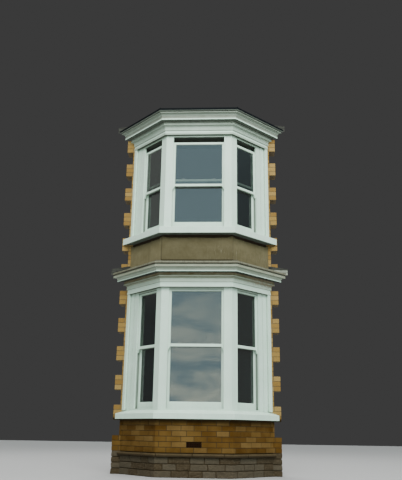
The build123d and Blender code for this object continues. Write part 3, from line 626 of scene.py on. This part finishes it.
MATERIALS = {
    "white_paint": painted_timber("painted_timber", reach=0.05, strength=0.75),
    "putty": painted_timber("painted_putty", reach=0.015, strength=0.3, own=True),
    "yellow_brick": brick_clay(),
    "base_stone": rubble_stone(),
    "render": cement_render(),
    "lead": lead(),
    "dark_roof": dark_roof(),
    "window_glass": window_glass("window_glass", see_through=0.58, mirror=3.7),
    # the air brick is nearly black: painted shade of its holes
    "terracotta": plain("terracotta", (0.010, 0.004, 0.002), (0.024, 0.011, 0.005), 0.9, shine=0.1),
    # the plaster is nearly black: painted shade of a dark room
    "plaster": plain("plaster", (0.035, 0.037, 0.031), (0.055, 0.058, 0.048), 0.95, shine=0.1),
    "floorboards": floor_timber(),
    "bare_timber": plain("bare_timber", (0.026, 0.017, 0.010), (0.055, 0.037, 0.022), 0.9, shine=0.2),
    "brass": plain("brass", (0.74, 0.70, 0.60), (0.82, 0.79, 0.70), 0.35),
}
MORTAR = mortar()
LEDGE_STONE = ledge_stone()
FLASHING = flashing_lead()
CANT_GLASS = window_glass("cant_glass", see_through=0.50, mirror=2.0)
SASH_PAINT = painted_timber("sash_paint", reach=0.015, strength=0.3, own=True)
# the sills' undersides take painted shade, almost black
SILL_PAINT = painted_timber("sill_paint", reach=0.05, strength=0.75, darkest=0.75)


def dress_nodes():
    """Gives each node its slot's material, or another where it has painted shade, dirt, paint or lead of its
    own kind.
    """
    for part in frame["record"]["subparts"]:
        slots = nodes[part["node"]].data.materials
        slots.clear()
        slots.append(MATERIALS[part["material_slot"]])
    own = {"lower_flashing": FLASHING, "upper_flashing": FLASHING}
    for storey in STOREYS:
        soffit = low(f"{storey}_cornice", Z)
        for node in (f"{storey}_frieze", f"{storey}_cornice"):
            own[node] = entablature_paint(node, storey, soffit)
        box_paint = frame_paint(storey, head=low(f"{storey}_frieze", Z))
        for part in ("left_frame", "front_frame", "right_frame", "lintel"):
            own[f"{storey}_{part}"] = box_paint
        for part in ("outer_sashes", "inner_sashes"):
            own[f"{storey}_{part}"] = SASH_PAINT
        own[f"{storey}_sill"] = SILL_PAINT
    for node, material in own.items():
        nodes[node].data.materials[0] = material


# Places round the bay
def on_face(face, along, depth):
    """A plan point: along a face from the front's middle or a cant's arris, and inwards from its surface."""
    if face == "front":
        return (along, -BAY_DEPTH + depth)
    side = 1 if face == "right" else -1
    return (side * (FRONT_HALF + (along - depth) * COS_CANT), -BAY_DEPTH + (along + depth) * COS_CANT)


def ring_points(offset):
    """The bay's outline at one offset: the left end, the two arrises and the right end."""
    end = WALL_HALF + offset / COS_CANT
    corner = FRONT_HALF + offset * MITRE
    front = -(BAY_DEPTH + offset)
    return [(-end, 0), (-corner, front), (corner, front), (end, 0)]


def offset_of(x, y):
    """How far a plan point stands out from the bay's faces."""
    return max(-(y + BAY_DEPTH), COS_CANT * (abs(x) - FRONT_HALF - y - BAY_DEPTH))


def between(joints, half_joint, open_end=False):
    """The two ends of each piece between neighbouring joints; an open end has no number."""
    ends = [(first + half_joint, second - half_joint) for first, second in zip(joints, joints[1:])]
    if open_end:
        ends[-1] = (ends[-1][0], None)
    return ends


# Meshes
def join_loops(mesh, first, second):
    """Faces between two closed loops of points."""
    count = len(first)
    sides = [(corner, (corner + 1) % count) for corner in range(count)]
    return [mesh.faces.new((first[a], first[b], second[b], second[a])) for a, b in sides]


def finished(name, mesh, material, stands_for=()):
    """Turns a bmesh into an object that rides on the part."""
    data = bpy.data.meshes.new(name)
    bmesh.ops.recalc_face_normals(mesh, faces=mesh.faces)
    mesh.to_mesh(data)
    mesh.free()
    data.polygons.foreach_set("use_smooth", [False] * len(data.polygons))
    data.materials.append(material)
    piece = bpy.data.objects.new(name, data)
    bpy.context.collection.objects.link(piece)
    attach(piece, "root")
    if stands_for:
        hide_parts(*stands_for)


class Masonry:
    """Bricks, stones or boards gathered in one mesh, each with its own shade."""

    def __init__(self, seed):
        self.mesh = bmesh.new()
        self.tint = self.mesh.faces.layers.float.new("tint")
        self.random = random.Random(seed)

    def block(self, plan, levels):
        """One upright prism with the given plan."""
        shade = self.random.random()
        lower = [self.mesh.verts.new((x, y, levels[0])) for x, y in plan]
        upper = [self.mesh.verts.new((x, y, levels[1])) for x, y in plan]
        ends = [self.mesh.faces.new(lower[::-1]), self.mesh.faces.new(upper)]
        for face in ends + join_loops(self.mesh, lower, upper):
            face[self.tint] = shade

    def box(self, x_range, y_range, levels):
        """One upright box from its limits."""
        (x0, x1), (y0, y1) = x_range, y_range
        self.block([(x0, y0), (x1, y0), (x1, y1), (x0, y1)], levels)

    def straight(self, face, start, end, depths, levels):
        """A piece along one face; with an open end it runs to the end of the cant, cut along the mouth."""
        near, far = depths
        ends = (CANT_LENGTH - near, CANT_LENGTH - far) if end is None else (end, end)
        plan = [on_face(face, start, near), on_face(face, ends[0], near)]
        plan += [on_face(face, ends[1], far), on_face(face, start, far)]
        self.block(plan, levels)

    def squint(self, side, face, front_end, leg, depths, levels):
        """A piece bent round an arris: from a place on the front face to one on the cant."""
        near, far = depths
        arris = [(side * (FRONT_HALF - depth * MITRE), -BAY_DEPTH + depth) for depth in depths]
        plan = [on_face("front", front_end, near), arris[0], on_face(face, leg, near)]
        plan += [on_face(face, leg, far), arris[1], on_face("front", front_end, far)]
        self.block(plan, levels)

    def piece(self, name, material, slot, stands_for=(), bevel=0, segments=1, cuts=0, wobble=0, wave=1):
        """Rounds the edges, roughens the surface inside the CAD model's box and hands over the object."""
        mesh = self.mesh
        bmesh.ops.recalc_face_normals(mesh, faces=mesh.faces)
        if bevel:
            edges = mesh.edges[:]
            bmesh.ops.bevel(mesh, geom=edges, offset=bevel, segments=segments, affect="EDGES", profile=0.6)
        if cuts:
            shortest = 0.03
            long_edges = [edge for edge in mesh.edges if edge.calc_length() > shortest]
            bmesh.ops.subdivide_edges(mesh, edges=long_edges, cuts=cuts, use_grid_fill=True)
        for vert in mesh.verts:
            moved = vert.co + noise.noise_vector(vert.co * wave) * wobble
            vert.co = [min(max(place, least), most) for place, least, most in zip(moved, *cad_box)]
        finished(name, mesh, material, stands_for)


# Brickwork
def course_levels(foot, course):
    """The foot and top of the bricks in one course."""
    return (foot + course * COURSE + HALF_JOINT, foot + (course + 1) * COURSE - HALF_JOINT)


def course_round_bay(bricks, front_joints, cant_joints, legs, leaf, levels):
    """One course of one leaf: squint bricks round the arrises and straight ones between the joints."""
    front_leg, cant_leg = legs
    for start, end in between(front_joints, HALF_JOINT):
        bricks.straight("front", start, end, leaf, levels)
    for side, face in SIDES:
        bricks.squint(side, face, side * (FRONT_HALF - front_leg), cant_leg, leaf, levels)
        for start, end in between(cant_joints, HALF_JOINT, open_end=True):
            bricks.straight(face, start, end, leaf, levels)


def plinth_bricks():
    """Courses in stretcher bond, two leaves thick, with the air brick left its place in one of them."""
    foot, top = low("brick_plinth", Z), high("brick_plinth", Z)
    bricks = Masonry(seed=11)
    for course in range(int((top - foot) / COURSE)):
        levels = course_levels(foot, course)
        odd = course % 2 == 1
        legs = (SQUINT_SHORT, SQUINT_LONG) if odd else (SQUINT_LONG, SQUINT_SHORT)
        last = FRONT_HALF - legs[0] - HALF_JOINT
        # the joints on the right half of the front, which the left half mirrors
        inner = [HALF_AIR_BRICK, HALF_AIR_BRICK + STRETCHER] if odd else [0.0, last - STRETCHER + HALF_JOINT]
        right = inner + [last]
        joints = sorted({-place for place in right} | set(right))
        first = legs[1] + HALF_JOINT
        cant = [first + STRETCHER * step for step in range(CANT_BRICKS)] + [CANT_LENGTH]
        for leaf in (OUTER_LEAF, INNER_LEAF):
            if course == AIR_BRICK_COURSE and leaf == OUTER_LEAF:
                left = [place for place in joints if place < 0]
                course_round_bay(bricks, left, cant, legs, leaf, levels)
                for start, end in between(right, HALF_JOINT):
                    bricks.straight("front", start, end, leaf, levels)
            else:
                course_round_bay(bricks, joints, cant, legs, leaf, levels)
    clay = MATERIALS["yellow_brick"]
    bricks.piece("plinth_bricks", clay, "yellow_brick", ["brick_plinth"], **BRICK_FINISH)


def plinth_mortar():
    """The mortar of the plinth, set back behind the bricks, with a pocket for the air brick."""
    foot, top = low("brick_plinth", Z), high("brick_plinth", Z)
    beds = Masonry(seed=12)
    outside = ring_points(-MORTAR_SET_BACK)
    inside = ring_points(-BRICK_LENGTH + MORTAR_SET_BACK)
    pocket = (foot + AIR_BRICK_COURSE * COURSE, foot + (AIR_BRICK_COURSE + 1) * COURSE)
    for levels in ((foot, pocket[0]), (pocket[1], top)):
        beds.block(outside + inside[::-1], levels)
    left_out = [outside[0], outside[1], (-HALF_AIR_BRICK, outside[1][1])]
    left_in = [(-HALF_AIR_BRICK, inside[1][1]), inside[1], inside[0]]
    for mirror in (1, -1):
        beds.block([(mirror * x, y) for x, y in left_out + left_in], pocket)
    beds.piece("plinth_mortar", MORTAR, "yellow_brick")


def quoin(side, node):
    """One pier of the bay's mouth: three courses wide and three narrow, stretchers and headers by turns."""
    foot, top = low(node, Z), high(node, Z)
    inner, narrow = sorted((abs(low(node, X)), abs(high(node, X))))
    outer_ends = (high("quoin_teeth", X), narrow)
    courses = round((top - foot) / COURSE)
    bricks = Masonry(seed=21 + side)
    for course in range(courses):
        levels = course_levels(foot, course)
        outer = outer_ends[course // QUOIN_BLOCK % 2]
        odd = course % 2 == 1
        split = inner + (BRICK_WIDTH if odd else BRICK_LENGTH)
        for start, end in ((inner, split), (split + JOINT, outer)):
            if end - start < JOINT:
                continue
            header = odd and end - start < BRICK_WIDTH + JOINT
            leaves = [(0.0, BRICK_LENGTH)] if header else [OUTER_LEAF, INNER_LEAF]
            for leaf in leaves:
                bricks.box(sorted((side * start, side * end)), leaf, levels)

    beds = Masonry(seed=31 + side)
    depths = (MORTAR_SET_BACK, BRICK_LENGTH - MORTAR_SET_BACK)
    for block in range(math.ceil(courses / QUOIN_BLOCK)):
        bottom = foot + block * QUOIN_BLOCK * COURSE
        above = min(bottom + QUOIN_BLOCK * COURSE, top)
        ends = (inner + MORTAR_SET_BACK, outer_ends[block % 2] - MORTAR_SET_BACK)
        beds.box(sorted(side * end for end in ends), depths, (bottom, above))

    # the teeth of both quoins are one node, and the right quoin's bricks stand for it
    replaced = [node, "quoin_teeth"] if side > 0 else [node]
    clay = MATERIALS["yellow_brick"]
    bricks.piece(f"{node}_bricks", clay, "yellow_brick", replaced, **BRICK_FINISH)
    beds.piece(f"{node}_mortar", MORTAR, "yellow_brick")


# Floors
def boarded_floor(name, seed):
    """Floorboards across the bay, each with its own shade, on joists square to the mouth."""
    node = f"{name}_floor"
    foot, top = low(node, Z), high(node, Z)
    boards_foot = foot + JOIST_DEPTH
    depth = -low(node, Y)
    offset = depth - BAY_DEPTH
    mouth_half = WALL_HALF + offset / COS_CANT
    width = depth / BOARDS
    boards = Masonry(seed)
    for board in range(BOARDS):
        front = -depth + board * width + HALF_BOARD_GAP
        back = -depth + (board + 1) * width - HALF_BOARD_GAP
        front_half, back_half = mouth_half + front, mouth_half + back
        plan = [(-front_half, front), (front_half, front), (back_half, back), (-back_half, back)]
        boards.block(plan, (boards_foot, top))
    boards.piece(f"{name}_boards", MATERIALS["floorboards"], "floorboards", [node], **BOARD_FINISH)

    beams = Masonry(seed=61)
    outermost = FRONT_HALF + offset * MITRE - JOIST_WIDTH
    for joist in range(JOISTS):
        middle = -outermost + joist * 2 * outermost / (JOISTS - 1)
        beams.box((middle - JOIST_WIDTH / 2, middle + JOIST_WIDTH / 2), (-depth, 0), (foot, boards_foot))
    beams.piece(f"{name}_joists", MATERIALS["bare_timber"], "bare_timber", **JOIST_FINISH)


# Stone base
def stone_joints(rng, start, end, lengths):
    """Joints at uneven distances from one end to the other."""
    shortest, longest = lengths
    joints = [start]
    while end - joints[-1] > longest + shortest:
        joints.append(joints[-1] + rng.uniform(shortest, longest))
    if end - joints[-1] > longest:
        joints.append((joints[-1] + end) / 2)
    return joints + [end]


def base_rubble():
    """Rubble courses on the bay's three sides, and more across its mouth under the quoins."""
    half = HALF_STONE_JOINT
    top = high("stone_base", Z)
    depths = (0, STONE_DEPTH)
    rubble = Masonry(seed=41)
    height = (top - LEDGE_HEIGHT) / RUBBLE_COURSES
    for course, leg in enumerate(CORNER_FRONT_LEGS):
        levels = (course * height + half * (course > 0), (course + 1) * height - half)
        cant_leg = CORNER_STONE - leg
        joints = stone_joints(rubble.random, -FRONT_HALF + leg, FRONT_HALF - leg, RUBBLE_LENGTHS)
        for start, end in between(joints, half):
            rubble.straight("front", start, end, depths, levels)
        for side, face in SIDES:
            rubble.squint(side, face, side * (FRONT_HALF - leg + half), cant_leg, depths, levels)
            joints = stone_joints(rubble.random, cant_leg + half, CANT_LENGTH, RUBBLE_LENGTHS)
            for start, end in between(joints, half, open_end=True):
                rubble.straight(face, start, end, depths, levels)

    wide = high("quoin_teeth", X)
    back = high("stone_base", Y)
    height = top / MOUTH_COURSES
    for course in range(MOUTH_COURSES):
        bottom = course * height + half * (course > 0)
        above = (course + 1) * height - half * (course < MOUTH_COURSES - 1)
        joints = stone_joints(rubble.random, -wide, wide, MOUTH_LENGTHS)
        for first, second in zip(joints, joints[1:]):
            ends = (first + half * (first > -wide), second - half * (second < wide))
            rubble.box(ends, (0, back), (bottom, above))
    rubble.piece("base_rubble", MATERIALS["base_stone"], "base_stone", ["stone_base"], **RUBBLE_FINISH)


def base_ledge():
    """Long cut stones over the rubble, which stand out from it and fall a little to the front."""
    top = high("stone_base", Z)
    levels = (top - LEDGE_HEIGHT, top)
    depths = (-LEDGE_REACH, LEDGE_BACK)
    ledge = Masonry(seed=42)
    for start, end in between(LEDGE_JOINTS, HALF_STONE_JOINT):
        ledge.straight("front", start, end, depths, levels)
    for (side, face), joint in zip(SIDES, (LEDGE_JOINTS[0], LEDGE_JOINTS[-1])):
        ledge.squint(side, face, joint + side * HALF_STONE_JOINT, LEDGE_RETURN, depths, levels)
        ledge.straight(face, LEDGE_RETURN + STONE_JOINT, None, depths, levels)
    middle = top - LEDGE_HEIGHT / 2
    for vert in ledge.mesh.verts:
        if vert.co.z > middle and offset_of(vert.co.x, vert.co.y) > LEDGE_REACH / 2:
            vert.co.z -= LEDGE_WEATHERING
    ledge.piece("base_ledge", LEDGE_STONE, "base_stone", **LEDGE_FINISH)


def base_mortar():
    """The core of mortar behind the stones, with a sleeper wall across the mouth to carry the joists."""
    inset = CORE_SET_BACK
    wide = high("quoin_teeth", X)
    between_quoins = low("right_quoin", X)
    levels = (0.0, high("stone_base", Z) - CORE_DROP)
    core = Masonry(seed=43)
    core.block(ring_points(-inset) + ring_points(-STONE_DEPTH + inset)[::-1], levels)
    core.box((-wide + inset, wide - inset), (inset, high("stone_base", Y) - inset), levels)
    core.box((-between_quoins, between_quoins), (-SLEEPER_DEPTH, inset), levels)
    core.piece("base_mortar", MORTAR, "base_stone")


# Glass
def panes(storey):
    """The panes of one storey: those on the front, which mirror the open sky, and those on the cants."""
    node = f"{storey}_glass"
    for place, material in (("front", MATERIALS["window_glass"]), ("cant", CANT_GLASS)):
        on_front = place == "front"
        mesh = bmesh.new()
        mesh.from_mesh(nodes[node].data)
        others = [vert for vert in mesh.verts if (abs(vert.co.x) < FRONT_HALF) != on_front]
        bmesh.ops.delete(mesh, geom=others, context="VERTS")
        finished(f"{storey}_{place}_panes", mesh, material, [node] if on_front else [])


# Render and lead
def sheet_round_bay(section, stations, shift):
    """A closed skin: a section of (offset, height) points carried round the bay.

    Each point is moved outwards and upwards by shift(run, offset, height), where the run is the way round
    the bay from its left end.
    """
    mesh = bmesh.new()
    rings = []
    run = 0.0
    for face, (length, steps) in enumerate(zip(FACE_LENGTHS, stations)):
        # the last ring of one face is the first ring of the next
        for step in range(1 if face else 0, steps + 1):
            share = step / steps
            ring = []
            for offset, height in section:
                out, up = shift(run + length * share, offset, height)
                start, end = ring_points(offset + out)[face : face + 2]
                x = start[0] + (end[0] - start[0]) * share
                y = start[1] + (end[1] - start[1]) * share
                ring.append(mesh.verts.new((x, y, height + up)))
            rings.append(ring)
        run += length
    for first, second in zip(rings, rings[1:]):
        join_loops(mesh, first, second)
    mesh.faces.new(rings[0])
    mesh.faces.new(rings[-1][::-1])
    return mesh


def divided(points, longest):
    """A closed section with its long sides divided."""
    result = []
    for (x0, z0), (x1, z1) in zip(points, points[1:] + points[:1]):
        steps = max(1, math.ceil(math.hypot(x1 - x0, z1 - z0) / longest))
        for step in range(steps):
            result.append((x0 + (x1 - x0) * step / steps, z0 + (z1 - z0) * step / steps))
    return result


def ripple(run, scale, row, size, height=0.0):
    """An uneven wave along the run, taken from one row of a noise pattern."""
    return noise.noise(Vector((run * scale, row, height))) * size


def apron_render():
    """The uneven coat of render: a gently wavy face and a broken top edge, whole at arrises and ends."""
    foot, top = low("apron_render", Z), high("apron_render", Z)
    outer = RENDER_OFFSET
    inner = outer - RENDER_THICK
    kept_places = (0.0, CANT_LENGTH, CANT_LENGTH + 2 * FRONT_HALF, sum(FACE_LENGTHS))

    def shift(run, offset, height):
        place = Vector((run, 0, height))
        out = noise.noise(place * 6) * 0.0022 + noise.noise(place * 23) * 0.0008
        up = 0.0
        if height > top - TOLERANCE:
            kept = max(max(0.0, 1 - abs(run - kept_place) / KEPT_REACH) for kept_place in kept_places)
            ragged = ripple(run, scale=3.1, row=3, size=0.010) + ripple(run, scale=17, row=9, size=0.007)
            up = (ragged - TOP_EDGE_LOSS) * (1 - kept) + KEPT_RISE * kept
        if offset < outer - TOLERANCE:
            out = 0.0
        return out, up

    section = [(outer, foot), (outer, top), (inner, top), (inner, foot)]
    mesh = sheet_round_bay(divided(section, RENDER_STEP), RENDER_STATIONS, shift)
    finished("apron_coat", mesh, MATERIALS["render"], ["apron_render"])


def add_roll(mesh, start, end):
    """A round lead roll from one point to another."""
    run = end - start
    turn = run.to_track_quat("Z", "Y").to_matrix().to_4x4()
    middle = Matrix.Translation((start + end) / 2) @ turn
    size = {"radius1": HIP_ROLL, "radius2": HIP_ROLL, "depth": run.length}
    bmesh.ops.create_cone(mesh, cap_ends=True, segments=20, matrix=middle, **size)


def lead_ledge():
    """The lead over the lower cornice: an edge that waves a little, a sloping top and two rolls."""
    foot = low("lower_roof", Z)
    top = low("apron_render", Z)
    edge = LEAD_REACH
    edge_top = foot + LEAD_EDGE
    eaves = edge - LEAD_LIP
    face = RENDER_OFFSET
    back = face - RENDER_THICK

    def shift(run, offset, height):
        # the sheet lies still near the render and moves most at its edge
        strength = max(0.0, min(1.0, (offset - 0.10) / 0.08))
        dent = ripple(run, scale=11, row=7, size=0.002, height=height * 30)
        wave = ripple(run, scale=5, row=1, size=0.0035) + ripple(run, scale=19, row=5, size=0.002)
        return (dent - 0.002) * strength, wave * strength

    section = [
        (back, foot + LEAD_LIP),
        (eaves, foot + LEAD_LIP),
        (eaves, foot),
        (edge, foot),
        (edge, edge_top - 0.006),
        (edge - 0.003, edge_top - 0.001),
        (eaves - 0.004, edge_top + 0.002),
        (face, top),
        (back, top),
    ]
    mesh = sheet_round_bay(divided(section, LEAD_STEP), LEAD_STATIONS, shift)
    for side in (-1, 1):
        ends = []
        for offset in (edge - 2 * HIP_ROLL, HIP_ROLL):
            _, _, (x, y), _ = ring_points(offset)
            share = (eaves - offset) / (eaves - face)
            ends.append(Vector((side * x, y, edge_top + share * (top - edge_top))))
        add_roll(mesh, *ends)
    finished("lead_ledge", mesh, MATERIALS["lead"], ["lower_roof"])


# Floor, light and camera
def add_floor():
    """A pale floor under the part."""
    bpy.ops.mesh.primitive_plane_add(size=FLOOR_SIZE, location=(0, 0, 0))
    floor = bpy.context.object
    floor.name = "floor"
    floor.data.materials.append(Surface("pale_floor").finish(rgb(0.42, 0.42, 0.41), 0.9))


def studio_world():
    """Soft light from a bright sky in front of the bay, faint glows at its sides and a plain backdrop."""
    world = bpy.data.worlds.new("studio")
    bpy.context.scene.world = world
    tree = Tree(world, "Generated")

    def towards(direction):
        node = tree.nodes.new("ShaderNodeVectorMath")
        node.operation = "DOT_PRODUCT"
        node.inputs[1].default_value = Vector(direction).normalized()
        tree.link(tree.place, node.inputs[0])
        return node.outputs["Value"]

    height = towards((0, 0, 1))
    low_down = tree.ramp(height, 0.31, 0.05)
    cloud_noise = tree.noise(10.0, 8.0, 0.58, at=tree.stretched(1.0, 1.0, 2.5), distortion=0.5)
    clouds = tree.product(low_down, tree.ramp(cloud_noise, 0.36, 0.68))
    front = tree.mix(clouds, rgb(0.47, 0.72, 0.80), rgb(1.45, 1.62, 1.34))
    overhead = tree.mix(tree.ramp(height, 0.42, 0.9), front, rgb(SKY, SKY, SKY))
    quiet = rgb(BACKGROUND, BACKGROUND * 1.02, BACKGROUND)
    at_left = tree.ramp(towards((-0.87, 0.15, 0.45)), 0.955, 0.99)
    left_glow = tree.mix(at_left, quiet, rgb(0.50, 0.54, 0.49))
    at_right = tree.ramp(towards((0.99, 0.03, 0.12)), 0.975, 0.995)
    right_glow = tree.mix(at_right, left_glow, rgb(0.17, 0.18, 0.155))
    in_front = tree.ramp(towards((0.05, -0.75, 0.66)), 0.15, 0.62)
    unshaded = tree.ramp(towards((1, 0, 0)), -0.90, -0.15)
    colour = tree.mix(tree.product(in_front, unshaded), right_glow, overhead)
    seen_directly = tree.nodes.new("ShaderNodeLightPath").outputs["Is Camera Ray"]
    with_backdrop = tree.mix(seen_directly, colour, rgb(BACKDROP, BACKDROP, BACKDROP))
    tree.link(with_backdrop, tree.nodes["Background"].inputs["Color"])


def area_light(name, place, target, size, power):
    """A soft square light aimed at a point, which shows neither in the glass nor through it."""
    data = bpy.data.lights.new(name, "AREA")
    data.size = size
    data.energy = power
    light = bpy.data.objects.new(name, data)
    bpy.context.collection.objects.link(light)
    light.location = place
    light.rotation_euler = (Vector(target) - Vector(place)).to_track_quat("-Z", "Y").to_euler()
    light.visible_glossy = False
    light.visible_transmission = False
    light.visible_camera = False


def add_camera():
    """The camera as it was held for the photograph."""
    data = bpy.data.cameras.new("camera")
    data.sensor_width = CAMERA_SENSOR
    data.lens = CAMERA_LENS
    data.clip_end = 200
    camera = bpy.data.objects.new("camera", data)
    bpy.context.collection.objects.link(camera)
    along_ground = math.cos(CAMERA_PITCH)
    to_right = math.sin(CAMERA_YAW) * along_ground
    inwards = math.cos(CAMERA_YAW) * along_ground
    ahead = Vector((to_right, inwards, math.sin(CAMERA_PITCH)))
    level = ahead.cross(Vector((0, 0, 1))).normalized()
    up = level.cross(ahead)
    right = level * math.cos(CAMERA_ROLL) + up * math.sin(CAMERA_ROLL)
    above = up * math.cos(CAMERA_ROLL) - level * math.sin(CAMERA_ROLL)
    turn = Matrix((right, above, -ahead)).transposed().to_4x4()
    camera.matrix_world = Matrix.Translation(CAMERA_PLACE) @ turn
    bpy.context.scene.camera = camera


dress_nodes()
plinth_bricks()
plinth_mortar()
quoin(1, "right_quoin")
quoin(-1, "left_quoin")
base_rubble()
base_ledge()
base_mortar()
apron_render()
lead_ledge()
boarded_floor("ground", seed=61)
boarded_floor("first", seed=90)
panes("lower")
panes("upper")
add_floor()
studio_world()
area_light("high_front", place=(1.6, -9.5, 11), target=(0, -0.6, 3), size=7, power=1700)
area_light("high_back", place=(-1.5, 6.0, 11), target=(0, 0, 3), size=6, power=800)
add_camera()
